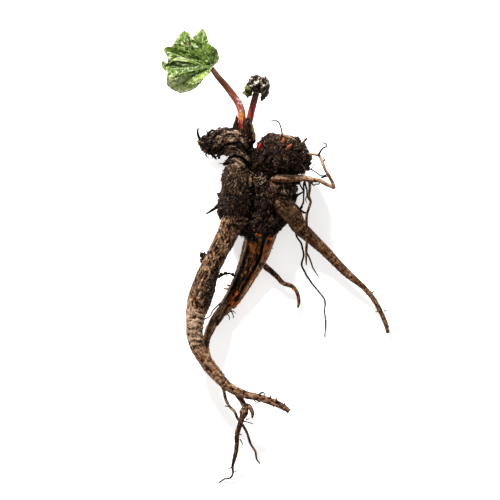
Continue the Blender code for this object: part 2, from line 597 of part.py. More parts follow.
def leaf_height(x, y):
    """The open leaf rises from its foot, puffs up between sunken ribs, folds and droops at its margins."""
    out = math.hypot(x - LEAF_FOOT[0], y - LEAF_FOOT[1])
    rise = LEAF_SLOPE * out - LEAF_BEND * out * out
    quilt = QUILT_HEIGHT * (1 - bell(rib_distance(x, y), 0.0, QUILT_REACH)) * min(out / QUILT_START, 1.0)
    folded = 1 / (1 + math.exp((x - FOLD_EDGE_X) / FOLD_EDGE_SOFTNESS))
    crests = CREST_HEIGHT * sum(bell(y, line, CREST_WIDTH) for line in CREST_LINES)
    fold = folded * (crests - VALLEY_DEPTH * bell(y, VALLEY_LINE, VALLEY_WIDTH))
    droop = LOWER_DROOP * max(0.0, LOWER_MARGIN_Y - y) ** 2
    droop += LOBE_DROOP * max(0.0, y - LOBE_TIPS_Y) ** 2
    droop += RIGHT_DROOP * max(0.0, x - RIGHT_MARGIN_X) ** 2
    pucker = PUCKER_HEIGHT * noise.noise(Vector((x / PUCKER_SIZE, y / PUCKER_SIZE, 2.0)))
    return LEAF_FOOT[2] + rise + quilt + fold - droop + pucker


def make_open_leaf(collection, material):
    mesh = blade_mesh("open_leaf_blade", LEAF_OUTLINE, LEAF_MESH_STEP, leaf_height)
    blade = new_object("open_leaf_blade", mesh, collection, material)
    solid = blade.modifiers.new("thickness", "SOLIDIFY")
    solid.thickness = LEAF_THICKNESS * MM
    solid.offset = 0.0
    return blade


def make_young_leaf(collection, cutters, material):
    """The crumpled second leaf, with a plain hole where its stalk comes up into it."""
    core = lumps_mesh("core", [YOUNG_CORE], 3)
    roughen(core, *CORE_CRUMPLE)
    rolls = []
    for k, route in enumerate(YOUNG_ROLLS):
        rolls.append(loft(f"roll_{k}", route, 10, 1.5, bark(40.0 + k, 0.2, 0.2)))
    mesh = fused("young_leaf_blade", joined("young_leaf_blade", [core, *rolls]), YOUNG_VOXEL, 1)
    roughen(mesh, *SKIN_CRUMPLE)
    mesh = combined("young_leaf_blade", mesh, cutters, "DIFFERENCE")
    return new_object("young_leaf_blade", mesh, collection, material)


def make_soil(name, chain, collection, cutters, material):
    """Crumbs clung together, with plain holes where buds come through them."""
    lumps = [((x, y, z), (radius, radius, radius)) for x, y, z, radius in chain]
    largest = max(point[3] for point in chain)
    mesh = fused(name, lumps_mesh(name, lumps, 3), max(1.6, 0.4 * largest), 1)
    roughen(mesh, max(3.0, 0.7 * largest), 0.12 * largest)
    return new_object(name, combined(name, mesh, cutters, "DIFFERENCE"), collection, material)


def main():
    for obj in list(bpy.data.objects):
        bpy.data.objects.remove(obj)
    scene = bpy.context.scene
    plant = bpy.data.collections.new("rhubarb_root")
    cutters = bpy.data.collections.new("cutters")
    cutters.hide_render = True
    scene.collection.children.link(plant)
    scene.collection.children.link(cutters)

    bark_brown = make_material("root_bark", (0.16, 0.1, 0.065), 0.8)
    stalk_red = make_material("stalk_red", (0.5, 0.07, 0.06), 0.35)
    leaf_green = make_material("leaf_green", (0.1, 0.24, 0.04), 0.4)
    young_green = make_material("young_leaf", (0.05, 0.07, 0.04), 0.5)
    scale_brown = make_material("bud_scale", (0.12, 0.06, 0.035), 0.6)
    bud_red = make_material("bud_red", (0.6, 0.05, 0.04), 0.35)
    soil_brown = make_material("soil", (0.07, 0.048, 0.035), 0.95)

    let_in = []
    for name, route, step in (("open_leaf_stalk", OPEN_STALK, 5.0), ("young_leaf_stalk", YOUNG_STALK, 4.0)):
        let_in.append(new_object(name, loft(name, route, 10, step, groove(STALK_GROOVE)), plant, stalk_red))
    for name, route in BUD_PIECES.items():
        material = scale_brown if "scale" in name else bud_red
        mesh = loft(name, route, 8, 2.0, bark(60.0, BUD_RIDGE, 0.0))
        let_in.append(new_object(name, mesh, plant, material))
    for obj in let_in:
        grown_copy(obj, FIT_GAP, cutters)
    clods = [make_soil(name, chain, plant, cutters, soil_brown) for name, chain in SOIL_CLODS.items()]
    for obj in clods:
        grown_copy(obj, SOIL_GAP, cutters)
    table_cutter(cutters)
    make_rootstock(plant, cutters, bark_brown)
    make_open_leaf(plant, leaf_green)
    make_young_leaf(plant, cutters, young_green)


main()
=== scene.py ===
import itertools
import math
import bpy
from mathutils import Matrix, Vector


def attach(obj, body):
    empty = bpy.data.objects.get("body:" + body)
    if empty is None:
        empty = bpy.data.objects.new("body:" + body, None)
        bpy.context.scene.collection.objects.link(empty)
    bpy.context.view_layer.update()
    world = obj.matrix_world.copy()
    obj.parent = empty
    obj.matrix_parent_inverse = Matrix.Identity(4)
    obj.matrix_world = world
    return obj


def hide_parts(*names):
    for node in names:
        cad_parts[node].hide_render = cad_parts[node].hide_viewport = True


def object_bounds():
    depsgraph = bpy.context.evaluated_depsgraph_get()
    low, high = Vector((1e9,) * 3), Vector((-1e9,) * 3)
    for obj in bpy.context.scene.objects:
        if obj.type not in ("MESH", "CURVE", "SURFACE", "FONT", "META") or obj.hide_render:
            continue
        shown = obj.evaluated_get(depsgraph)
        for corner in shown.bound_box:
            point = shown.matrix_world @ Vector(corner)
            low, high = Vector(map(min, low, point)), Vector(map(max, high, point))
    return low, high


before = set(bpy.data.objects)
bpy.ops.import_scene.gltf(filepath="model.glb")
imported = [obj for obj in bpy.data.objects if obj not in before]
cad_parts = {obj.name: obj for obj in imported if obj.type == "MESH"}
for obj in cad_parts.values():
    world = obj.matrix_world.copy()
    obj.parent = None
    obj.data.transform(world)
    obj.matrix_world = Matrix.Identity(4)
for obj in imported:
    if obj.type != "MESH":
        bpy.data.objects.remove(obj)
cad_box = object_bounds()

# The looks of a young rhubarb crown, dug up whole and lying on a pale surface, seen from above. +Y
# runs up the plant from the root tips to the leaves. Points and sizes are in millimetres and become
# metres where a mesh is made. A route is a list of (x, y, z, radius). Most pieces carry marks that
# their materials read: wrap, a place on a root unrolled round its axis; crest, from -1 in a crease
# to 1 on a ridge, which the colours turn into painted shade in creases and a painted highlight on
# ridges; and how much soil, pale bark or orange bark shows, the pale mark in places also holding a
# painted highlight. Colours are given as they look on a screen, from 0 to 255.

from types import SimpleNamespace

import bmesh
import bpy
import numpy as np
from mathutils import Vector
from mathutils.bvhtree import BVHTree
from mathutils.geometry import delaunay_2d_cdt

MM = 0.001
# How a screen's shades become the shader's linear ones
SCREEN_GAMMA = 2.2

# Storage roots
LEFT_ROOT = [
    (-33, 50.5, 38, 9), (-43.5, 34.5, 38, 10.6), (-50.5, 18.5, 37, 9.8), (-58.3, 3.5, 36, 9.3),
    (-65, -10.5, 35, 9.8), (-70.4, -24.5, 34.5, 10.8), (-75, -39.5, 34, 11.7),
    (-78, -49.5, 34, 11.2), (-80.7, -59.5, 33.5, 9.6), (-81.5, -69.5, 33, 8.6),
    (-81, -79.5, 32.5, 7.9), (-79, -88.5, 32, 7.3), (-74.5, -98.5, 32, 6.7), (-67, -110, 32, 6.1),
    (-58.5, -120, 32, 5.5), (-49.5, -129, 32, 4.8), (-39, -135.3, 32, 4.3), (-28, -139.1, 32, 3.8),
    (-17, -141.5, 31.5, 3.5), (-5.5, -145.2, 31, 3.4), (5, -149.5, 30, 3.1), (13.5, -155, 29, 2.4),
]
MIDDLE_ROOT = [
    (-18, 42.5, 28, 13), (-19, 28.5, 25, 12.5), (-21, 16.5, 21.5, 10.5), (-24.5, 4.5, 18, 9.6),
    (-28.5, -7.5, 15, 8.8), (-33, -19.5, 12.5, 8.2), (-38.5, -30.5, 11, 7.4),
    (-44.5, -41.5, 10, 6.6), (-51, -51.5, 9.5, 5.8), (-58, -60.5, 9.5, 5.2),
    (-64.5, -70.5, 11, 4.2), (-68.5, -79.5, 14, 3.3), (-70.2, -88.5, 18, 2.5), (-69, -96.5, 22, 2),
    (-65, -104.5, 25, 1.6), (-58.5, -112.5, 27.5, 1.3), (-52, -119.5, 29, 0.8),
]
MIDDLE_STRAND = [
    (-4, 36.5, 29, 7), (-5, 22.5, 24, 5.5), (-8.5, 10.5, 20, 4.8), (-13, -1.5, 16.5, 4.2),
    (-18.5, -12, 14, 3.8), (-25, -22.5, 12.5, 3.6), (-31, -33, 11, 3.1), (-37.5, -43.5, 10, 2.5),
    (-43.5, -52, 9, 1.6),
]
RIGHT_ROOT = [
    (-8, 72, 36, 9), (0, 61, 37, 10.6), (8.5, 50, 34, 10.4), (16, 42.5, 29.5, 9.2),
    (23, 30.5, 24, 7.8), (35.5, 18.5, 19, 6.1), (48.5, 6.5, 16, 5.1), (60, -5.5, 14, 4.6),
    (71.5, -17, 13, 4.1), (80.5, -24.5, 12.5, 3.3), (88, -31, 12, 2.7), (94.5, -38, 12, 2.5),
    (101, -47.5, 12, 2.4), (106.5, -58, 11.5, 2.3), (110.5, -68, 11, 2), (112.7, -77, 10, 1.5),
]
# Crown: the creeping rhizome on the left with its folded knob, the lumps that it grew into, and the
# stumps of old leaf bases that lie over it like shells, the last of them a long oval
RHIZOME = [
    (-32.5, 127.5, 47, 8.5), (-32, 119.5, 45.5, 10.2), (-32.5, 111.5, 43.5, 11.4),
    (-33.5, 104.5, 41.5, 11.6), (-34.5, 96.5, 39, 12.8), (-35.3, 88.5, 37, 13.2),
    (-37, 76.5, 35.5, 14.8), (-38, 62.5, 34.5, 16.2), (-39, 50.5, 34, 16.6), (-39.5, 42.5, 34, 16),
    (-39.5, 36, 34.5, 14.2), (-41, 28.5, 35.5, 13),
]
LEFT_KNOB = [
    (-30, 113.5, 44, 13), (-42, 114, 44.5, 14), (-52, 115, 45, 12.3), (-60, 113, 45.5, 11.3),
    (-67, 112.5, 46, 9.3), (-73, 114, 46.5, 6.8), (-76, 114.5, 46.5, 4),
]
CROWN_LUMPS = [
    ((-20.5, 57.5, 21.5), (35.5, 38.5, 24)), ((4, 102.5, 38), (26.5, 17.5, 26)),
    ((16, 96.5, 36), (17, 16, 22)), ((-5.5, 109.5, 40), (9, 11, 18)), ((7.5, 66, 27), (12, 17, 19)),
    ((-18, 96.5, 34), (12, 14, 20)), ((-14, 35.5, 27), (18, 16, 17)), ((6, 85, 26), (13, 10, 16)),
    ((3, 66, 37), (9, 10.5, 10)),
]
LEAF_BASES = [
    ((-41, 121, 50), (10, 7.5, 8), -0.35), ((-36, 107.5, 48), (10.5, 8, 8), -0.5),
    ((-24, 97, 46), (9, 7.5, 7.5), -0.9), ((-38, 65.5, 39.5), (16.2, 29.5, 16), 0.1),
]
OVAL_BASE = LEAF_BASES[-1]

# Side roots and fibrous roots
FINE_ROOTS = {
    "side_root": [
        (-3, 77.5, 43, 2.9), (3, 78.2, 49.8, 3.8), (14, 78, 51, 3.6), (27, 78.3, 48, 3.1),
        (36, 76.5, 46.5, 2.5), (43, 76, 46, 2.1), (50, 72.5, 45.5, 2), (59, 68.3, 45, 1.7),
    ],
    "return_root": [
        (58.5, 68.5, 45, 1.6), (56.4, 74.4, 46.5, 1.6), (53, 80.5, 48.5, 1.5), (49, 87.3, 50, 1.4),
        (46, 94.8, 50, 1.4), (43, 101, 48, 1.4), (37.4, 102.2, 46, 1.2), (26, 102.5, 43, 1.3),
    ],
    "hook_root": [
        (42, 101, 48, 1), (47, 108.2, 50, 0.8), (50.8, 110.6, 51, 0.7), (48, 113.5, 51.5, 0.6),
        (46.3, 113.2, 51, 0.6),
    ],
    "upper_wire": [
        (29, 89, 42, 0.7), (37, 86.2, 45, 0.6), (41.7, 83, 47, 0.6), (44.6, 80.8, 48, 0.6),
        (47.5, 80.8, 48.5, 0.6), (51, 82, 49, 0.6),
    ],
    "hanging_root": [
        (33, 80, 46, 1.4), (33.8, 68.6, 44, 1.3), (33, 60, 42, 1.2), (34.7, 54.6, 40, 1.2),
        (33.8, 51, 38.5, 1.2), (30.9, 41.9, 36, 1.3), (30.7, 30, 33, 1.3), (31, 16.6, 30, 1.3),
        (30.5, 6.5, 27, 1.2), (30.3, -2, 24, 0.9), (30.5, -8.5, 22, 0.6),
    ],
    "hanging_branch": [
        (30.4, 5, 26, 0.9), (34, -2.5, 22, 0.8), (37.5, -12, 17, 0.7), (43, -20.5, 13, 0.5),
    ],
    "dark_wire": [
        (30, 78, 45, 0.9), (27.7, 72.5, 42, 0.8), (28, 66, 39, 0.8), (27.7, 61, 36, 0.8),
        (27.5, 54.6, 34, 0.8), (24.8, 48.9, 31, 0.8), (21, 42, 25, 0.8),
    ],
    "cross_wire": [(16, 54, 30, 0.9), (21, 50, 31, 0.9), (26, 45.5, 32, 0.9), (32, 42.5, 36, 0.7)],
    "long_wire": [
        (19, 28, 17, 1), (21.5, 18.9, 12, 0.9), (25.7, 12.8, 10, 0.9), (26.6, 8.7, 9, 0.9),
        (28, 1.5, 8, 0.9), (26, -8.5, 7, 0.9), (29, -15.5, 6.5, 0.9), (36, -26.5, 6, 0.9),
        (44, -36.5, 5, 0.8), (49, -43.5, 4.5, 0.8), (49, -55.5, 3.5, 0.7), (50, -68.5, 2.5, 0.7),
        (49, -81.5, 1.6, 0.5),
    ],
    "bridge_wire": [
        (14, 37, 22, 0.9), (9.4, 32, 20, 0.8), (2.7, 25.8, 19, 0.8), (0, 22, 20, 0.8),
        (-4, 20, 22, 0.8),
    ],
    "lower_side_root": [
        (-16, -3, 14, 3.2), (-12, -8.5, 12, 3), (-0.3, -19, 10, 2.6), (7.3, -26.7, 9, 2.2),
        (17, -30.5, 8, 2), (21.7, -37.3, 7, 1.8), (23, -44.5, 5.5, 1.6), (22.2, -51.5, 4, 1.2),
    ],
    "slack_wire": [
        (-52, -44, 10, 0.7), (-58.2, -49.1, 13, 0.6), (-63, -54, 17, 0.6), (-66, -59.5, 22, 0.6),
        (-73, -63.5, 29, 0.6),
    ],
    "fork_root": [
        (-43, -132, 31, 2.4), (-38.2, -139.5, 30, 2.5), (-33.6, -145.5, 29, 2.6),
        (-31.3, -151, 28, 3.2), (-32, -156.3, 27, 4.6), (-33.6, -161, 25, 3),
        (-36, -168.5, 23, 2.5), (-39, -178.5, 20, 2.4), (-39.3, -190, 16, 2.2),
        (-41.2, -201.5, 12, 2), (-43.5, -210.7, 8, 1.4), (-43.5, -219, 5, 1),
        (-46, -222.9, 3.2, 0.9), (-51.2, -223.8, 2, 0.8), (-57.5, -227.6, 1, 0.6),
    ],
    "fork_arm": [
        (-31, -149, 28, 2.2), (-27, -150.3, 29, 2.2), (-23.6, -156.3, 28, 1.9),
        (-23.6, -162.5, 27, 1),
    ],
    "fork_spur": [(-33, -165, 24.5, 0.8), (-28, -166.2, 25, 0.7), (-22.5, -168.3, 25, 0.6)],
    "slim_branch": [
        (-54, -127.5, 33, 1.7), (-52, -135.5, 32, 1.5), (-50.4, -142.5, 31, 1.5),
        (-46.6, -150.2, 30.5, 1.4), (-42, -154.8, 30, 1.4), (-38.2, -162.5, 29, 1.4),
        (-33.6, -168.5, 27.5, 1.4), (-29, -177, 25, 1.3), (-25.1, -188.5, 21, 1.1),
        (-20.6, -196.1, 18, 1), (-19, -203.8, 15, 0.8), (-16, -208, 13, 0.6),
    ],
    "left_thorn": [
        (-48, 58, 31, 2.3), (-54.8, 53.7, 30, 2.2), (-61, 48.5, 29.5, 1.7), (-70, 42.5, 29, 0.7),
    ],
    "right_twig": [(22, 108, 44, 1.2), (26.8, 113.9, 48, 1.2), (30.7, 118.1, 51, 1.2)],
    "top_hair": [
        (6, 116, 52, 0.8), (5.8, 124, 56, 0.7), (4.4, 130, 58, 0.7), (2, 134.6, 59, 0.7),
        (-5, 135.5, 59, 0.6),
    ],
    "knob_rib": [
        (4, 120.5, 46, 1.6), (11, 119.8, 49, 1.7), (19, 115, 50, 1.6), (27, 106.5, 48, 1.5),
    ],
    "shred_tall": [
        (-72, 113, 47, 2), (-77, 119, 49, 1.5), (-78.3, 124.5, 51, 1.1), (-77.6, 129, 52, 0.6),
    ],
    "shred_top": [(-70, 117, 49, 1.4), (-67.5, 123.5, 51, 1.2), (-62.5, 127, 52, 0.6)],
    "shred_low": [(-66, 107, 42, 2.2), (-62.5, 101, 38, 1.5), (-59.5, 97.4, 36, 0.7)],
    "shred_root": [(-58, 106, 40, 2), (-57.2, 100.2, 37, 1.4), (-56.5, 98, 35, 0.8)],
    "scar_stub": [(-45, 97, 38, 2.4), (-51, 92.8, 36.5, 1.9), (-53, 91.8, 36, 1.2)],
}

# Leaf stalks, bud scales and buds
OPEN_STALK = [
    (-34.2, 120, 46, 3), (-34.8, 130.5, 48.5, 3.2), (-34, 137.5, 50.5, 3.7),
    (-34.5, 144.5, 52.5, 3.8), (-37.8, 153.5, 55.5, 3.6), (-44, 162.5, 58.5, 3.4),
    (-52, 172.5, 62, 3.1), (-59, 180.5, 65, 2.8), (-62.8, 185.8, 65.9, 2.5),
    (-66.2, 191.2, 65.9, 1.7),
]
YOUNG_STALK = [
    (-27.5, 120, 44.5, 2.8), (-27.4, 130.5, 46.5, 3.3), (-25.7, 139.5, 49, 3.4),
    (-23.6, 148.5, 52, 3.3), (-21.5, 156.5, 55, 3.2), (-19.6, 163.5, 57.5, 2.9),
    (-18.5, 167.5, 58.8, 2.2),
]
BUD_PIECES = {
    "bud_scale_spike": [
        (-40.6, 119, 47, 2.4), (-40.8, 127, 50, 2.4), (-39.8, 134, 53, 1.7),
        (-38.7, 141.8, 56, 0.5),
    ],
    "bud_scale_dark": [
        (-29, 120, 51.5, 2.6), (-28.7, 128, 54, 3.4), (-28.5, 134.5, 55.8, 3.2),
        (-27.7, 139, 56.6, 1.5),
    ],
    "bud_scale_ochre": [
        (-23.8, 117, 46.8, 1.9), (-24.2, 124.5, 49.3, 2.2), (-24.6, 129.5, 50.6, 1.8),
        (-25, 133, 51.8, 0.6),
    ],
    "bud_neck": [(-16.5, 106, 44, 2), (-15.8, 109.2, 51, 2.3), (-15.6, 112.5, 55, 0.8)],
    "bud_knob_upper": [(7.6, 111.5, 54, 1.4), (7.3, 115.2, 59.9, 1.9), (7, 118.6, 59.4, 0.6)],
    "bud_knob_lower": [(9.5, 105, 63.4, 1), (12.7, 109, 64.4, 1.9), (15.6, 112, 61.8, 0.8)],
}

# Open leaf: its outline from the stalk round the lobes, and where its ribs end
LEAF_FOOT = (-64, 189.5, 68.6)
LEAF_OUTLINE = [
    (-56.8, 195.7), (-56.5, 198.2), (-58.7, 205.9), (-62.2, 209.1), (-67.6, 212.9), (-68.3, 218.6),
    (-70.5, 224.4), (-73.1, 228.2), (-75.6, 225.7), (-80.1, 221.8), (-83.9, 217.4), (-85.2, 219.3),
    (-86.5, 223.7), (-91.6, 225.3), (-94.7, 223.4), (-98.6, 218.1), (-101.8, 212.9),
    (-103.7, 209.1), (-107.5, 209.7), (-111, 208.4), (-112.3, 205.2), (-109.4, 200.8),
    (-107.5, 195.7), (-108.8, 191.9), (-111.3, 195), (-114.2, 195), (-114.2, 190.6),
    (-111.3, 184.8), (-108.1, 183.6), (-109.4, 176.5), (-108.8, 170.2), (-103.7, 166.3),
    (-95.4, 162.8), (-87.7, 164.4), (-80.1, 167.6), (-75, 172.7), (-71.8, 177.8), (-66, 182.3),
    (-63.6, 187.8),
]
LEAF_RIBS = [(-73, 226), (-89, 222), (-110, 206), (-112, 190), (-101, 169), (-58, 203)]
LEAF_THICKNESS = 0.8
# How the blade stands: its slope at the foot and how fast that falls off, the quilting between its
# ribs, the two crests and the valley of the fold in its left half, and its drooping margins
LEAF_SLOPE, LEAF_BEND = 0.16, 0.0042
QUILT_HEIGHT, QUILT_REACH, QUILT_START = 3.2, 5.0, 14.0
FOLD_EDGE_X, FOLD_EDGE_SOFTNESS = -84.0, 2.5
CREST_LINES, CREST_HEIGHT, CREST_WIDTH = (199.0, 191.5), 0.36, 1.21
VALLEY_LINE, VALLEY_DEPTH, VALLEY_WIDTH = 195.3, 0.18, 2.0
LOWER_MARGIN_Y, LOWER_DROOP = 181.0, 0.055
LOBE_TIPS_Y, LOBE_DROOP = 213.0, 0.03
RIGHT_MARGIN_X, RIGHT_DROOP = -66.0, 0.04
# Its veins: where the side veins start on a rib and how far apart, how they lean away from it and
# bend back, their greatest length, how strong they are beside a rib of 1, and the marks' widths
VEIN_START, VEIN_SPACING, VEIN_LEAN, VEIN_BEND, VEIN_LENGTH = 7.0, 4.6, 0.85, 0.3, 9.0
SIDE_VEIN_WEIGHT, RIB_WIDTH, SIDE_VEIN_WIDTH = 0.45, 0.55, 0.33
# Second leaf: the ball that it is crumpled round, and its rolled margins
YOUNG_CORE = ((-15.5, 171.5, 62.5), (8.2, 8.6, 7))
YOUNG_ROLLS = [
    [
        (-19, 168, 62, 2.6), (-24, 172, 64, 3.2), (-27.5, 168.5, 63, 3), (-30.5, 163.5, 61, 2.6),
        (-32.5, 162, 59.5, 1.2),
    ],
    [(-22, 168, 60, 2.4), (-26, 164.5, 59.5, 2.6), (-27.8, 160.5, 58, 2), (-28.7, 157.2, 57, 0.9)],
    [
        (-24, 170, 65, 2.2), (-23.5, 176.5, 66.5, 2.6), (-20, 178, 67, 2.4),
        (-15, 176.5, 67.5, 2.3), (-10.5, 177.8, 66, 2.2), (-9, 172.5, 65.5, 2.2),
        (-9.4, 166, 63, 2),
    ],
    [(-10.5, 172, 61, 3.2), (-10.5, 165, 60, 3.2), (-12.5, 159.5, 58, 2.3), (-14.2, 156, 57, 0.8)],
    [(-21, 173, 68, 1.8), (-16.5, 172.5, 69.8, 2), (-13, 169, 69, 2), (-13.5, 164, 66, 1.6)],
]

# How finely each piece is made, the thinnest that a tube gets, and how many small things there are
CROWN_FINE_VOXEL, SOIL_FINE_VOXEL, YOUNG_FINE_VOXEL, LEAF_FINE_STEP = 0.75, 0.75, 0.5, 0.55
THINNEST_RADIUS = 0.15
FIBRE_COUNT, SHRED_COUNT, CRUMB_COUNT = 2300, 44, 1300
# Rootlets over the crown: their lengths, radii and steps, how high they rise, and their tones from
# near black to straw, each with its odds
FIBRE_LENGTHS, FIBRE_RADII, FIBRE_STRIDE = (4, 20), (0.18, 0.46), 1.3
FIBRE_LIFTS, FIBRE_LIFT_ODDS = (0.1, 0.5, 2.0), (0.6, 0.28, 0.12)
FIBRE_TONES, FIBRE_TONE_ODDS = (0.1, 0.45, 0.75, 0.94), (0.36, 0.28, 0.22, 0.14)
# Torn ends of leaf bases, and crumbs of soil by their radii
SHRED_LENGTHS, SHRED_RADII = (2.5, 7.5), (0.35, 1.1)
CRUMB_SMALLEST, CRUMB_SPREAD, CRUMB_LARGEST = 0.35, 0.4, 2.0
# Camera: the photograph's middle, and the width that it shows
FRAME_CENTRE, FRAME_WIDTH = (-26.0, 6.5, 45.0), 0.5
LENS, SENSOR = 500.0, 36.0
# Light: a bright room and a soft lamp beyond the leaves
WORLD_COLOUR, WORLD_STRENGTH = (1.0, 0.98, 0.95, 1.0), 0.38
LAMP_PLACE, LAMP_SIZE, LAMP_POWER = (-0.68, 1.8, 1.2), 0.4, 120.0
FLOOR_HALF_SIZE, FLOOR_GLOW = 4.0, 0.6

SOIL_NODES = ("soil_crevice", "soil_knob_crust", "soil_left_clod", "soil_bridge")
# Folded leaf bases of the knob and neck, as rings seen from above: centre and reach. Later ones lie
# on top of earlier ones.
FOLD_SHELLS = [
    ((-84, 101), 15.0), ((-75, 98), 18.0), ((-44, 106), 20.5), ((-43, 93), 18.5), ((-41, 81), 18.0),
]
# Soil and rotted fibre that fills the crown out between its lobes and over the right root's foot
CROWN_FILLS = [
    ((6, 85, 26), (14, 10, 17)), ((3, 65, 38), (10, 11, 11)), ((10, 61, 30), (7, 8, 8)),
    ((-5, 82, 34), (11, 9, 10)), ((14, 78, 30), (10, 8, 10)),
]
# Gaps pressed into the crown, darkened with painted shade: route, width and depth
CROWN_GAPS = [
    ([(-31, 95), (-27, 88), (-24, 80), (-22, 71), (-22.4, 58), (-25.6, 46)], 1.7, 4.5),
    ([(-45, 107), (-38, 108), (-31, 104), (-26, 99)], 1.2, 2.0),
    ([(3.5, 86), (10, 87), (18, 85), (24, 82)], 2.6, 5.0),
    ([(-44, 112.5), (-36, 113), (-30, 108), (-24, 101)], 1.3, 2.4),
    ([(-22, 112), (-18, 104), (-14, 98)], 2.4, 3.0),
]
# The groove between the middle root and the strand on its right
MIDDLE_GROOVE = [
    (-10.5, 30), (-13.5, 12), (-16.5, -1), (-22, -12), (-28, -22), (-34, -33), (-40, -44),
]
# How the crossing strands of the left root's net wind, and which noise each one takes
WEAVE_WINDS = ((0.075, 11.0), (-0.06, 17.0))
# The radius from which a fine root gets more sides, and where the forked root has its pale knot
THICK_FINE_RADIUS, PALE_KNOT_Y = 1.3, -151
# Which fine roots share a bark
FINE_GROUPS = {
    "tan_roots": ["side_root", "return_root", "right_twig", "knob_rib"],
    "brown_roots": [
        "hanging_root", "hanging_branch", "lower_side_root", "fork_root", "fork_arm", "fork_spur",
        "slim_branch", "scar_stub",
    ],
    "wires": [
        "hook_root", "upper_wire", "dark_wire", "cross_wire", "long_wire", "bridge_wire",
        "slack_wire", "left_thorn", "top_hair", "shred_tall", "shred_top", "shred_low",
        "shred_root",
    ],
}
# Open leaf: its ribs as they curve, its pale lower margin and its paler right lobe
LEAF_MAIN_RIBS = [
    [(-64, 189.5), (-68.4, 188.7), (-82.7, 195), (-86.7, 202.2), (-87.5, 207), (-89.1, 215.8)],
    [(-64, 189.5), (-66, 195), (-73.2, 207.8), (-74, 220.5)],
    [(-64, 189.5), (-75, 190.5), (-86.7, 188.4), (-105, 187.1)],
    [(-64, 189.5), (-72, 184), (-84, 179), (-98, 171)],
    [(-82.7, 195), (-95, 199.5), (-108, 204)],
    [(-64, 189.5), (-60.5, 197), (-60, 203)],
]
LEAF_PALE_EDGE = [(-68, 180), (-75, 173), (-84, 167), (-96, 164.5), (-103, 168), (-107, 174)]
LEAF_RIGHT_LOBE = [(-70, 222), (-71, 214), (-70, 208)]
# Sharp folds in its left half and near its top, each with a painted highlight along it, and lines
# of painted shade beside them
LEAF_HIGHLIGHT_LINES = [
    [(-107, 191.6), (-104.7, 195.2), (-99.6, 197), (-93.4, 197.7), (-87, 197)],
    [(-102, 195.2), (-96, 195), (-89.6, 194.5)],
    [(-99.6, 192), (-93.4, 190.8), (-84.6, 190.1)],
    [(-84.6, 211.8), (-82, 209.6), (-79.5, 208.4)],
    [(-95, 213), (-92.5, 210), (-91.5, 206)],
]
LEAF_SHADE_LINES = [
    [(-110, 189.6), (-107, 193), (-103.5, 196.6), (-98, 198.6), (-92, 199)],
    [(-105, 192.6), (-100, 193.6), (-93, 192.6), (-86, 192)],
    [(-88.6, 220), (-86, 213.5), (-82.5, 206)],
]

# Wires too fine for the solid model, as routes
EXTRA_WIRES = [
    [
        (34.5, 77, 46, 0.8), (35.7, 73.5, 46, 0.75), (37.9, 71.2, 46, 0.7), (40.4, 72.6, 46, 0.6),
        (42.6, 72.4, 46, 0.6), (43.9, 75.3, 46, 0.6), (43.2, 77.6, 46, 0.5),
    ],
    [
        (28.2, 65.4, 36, 0.7), (25.8, 64, 35, 0.85), (22.4, 61.8, 33, 0.85), (19.8, 58.8, 31, 0.8),
        (18, 56, 30, 0.6),
    ],
    [(22.8, 74.5, 39, 0.8), (25, 70.2, 38, 0.8), (26.8, 67, 37, 0.75), (28.4, 63.4, 36, 0.5)],
    [
        (28.2, 76, 44, 1), (29.6, 71, 42, 1), (31, 66.3, 40, 0.85), (31.2, 60.8, 38, 0.7),
        (33.2, 56, 36, 0.5),
    ],
    [
        (15.6, 54.4, 33, 0.9), (19.6, 51.8, 33, 1), (22.2, 49, 33, 1), (24.6, 46.6, 32, 0.95),
        (28, 44, 31, 0.9), (31.2, 44.2, 30, 0.6),
    ],
    [(28, 53.4, 36, 0.6), (26.3, 52.2, 36, 0.6), (26.5, 49.2, 34, 0.55), (24, 46.8, 32.5, 0.4)],
    [(31.2, 61, 38, 0.5), (30, 58.6, 37.5, 0.5), (29.8, 56.4, 37, 0.45), (31.1, 53.6, 36.5, 0.3)],
    [
        (31, 98.5, 46, 0.5), (37.5, 97, 47, 0.45), (38, 92.5, 47, 0.45), (35.5, 88, 45, 0.4),
        (31, 86, 43, 0.5),
    ],
    [(45, 78.5, 47, 0.8), (50, 80, 48, 0.7), (55.5, 80.5, 48.5, 0.4)],
    [(46, 94.5, 50, 0.8), (48.5, 96.5, 51, 0.7), (47, 99, 51, 0.5)],
    [(-36, -183.5, 19, 0.6), (-34, -187, 18, 0.5), (-33.6, -189.5, 17.6, 0.4)],
    [(-43.5, -212, 7.5, 0.6), (-45.5, -212.3, 8, 0.5), (-48, -214, 8.5, 0.3)],
    [(-43.3, -216, 6, 0.6), (-41, -216.6, 6.5, 0.5), (-39.3, -215, 7, 0.4)],
    [
        (-22.5, -143, 30.5, 0.6), (-20, -145.8, 30, 0.5), (-15.8, -145.2, 30, 0.5),
        (-14.5, -143.6, 30.4, 0.4),
    ],
    [
        (-17.5, -140.5, 33, 1), (-15.2, -136.8, 34, 0.9), (-12, -136.6, 34, 0.7),
        (-11.5, -139.4, 33.5, 0.5),
    ],
    [(-46.8, -54, 8, 0.7), (-44, -56.5, 7, 0.6), (-42.5, -62, 5, 0.5)],
    [(-46.8, -54, 8, 0.6), (-42.8, -55.2, 7.5, 0.5), (-40.2, -57.3, 7, 0.3)],
    [(-49.5, -57, 8, 0.5), (-47, -60, 6, 0.4), (-46.5, -64, 4.5, 0.3)],
    [(-9, 13, 16, 0.6), (-5.5, 10.5, 15, 0.5), (-2.8, 7.6, 14, 0.3)],
]
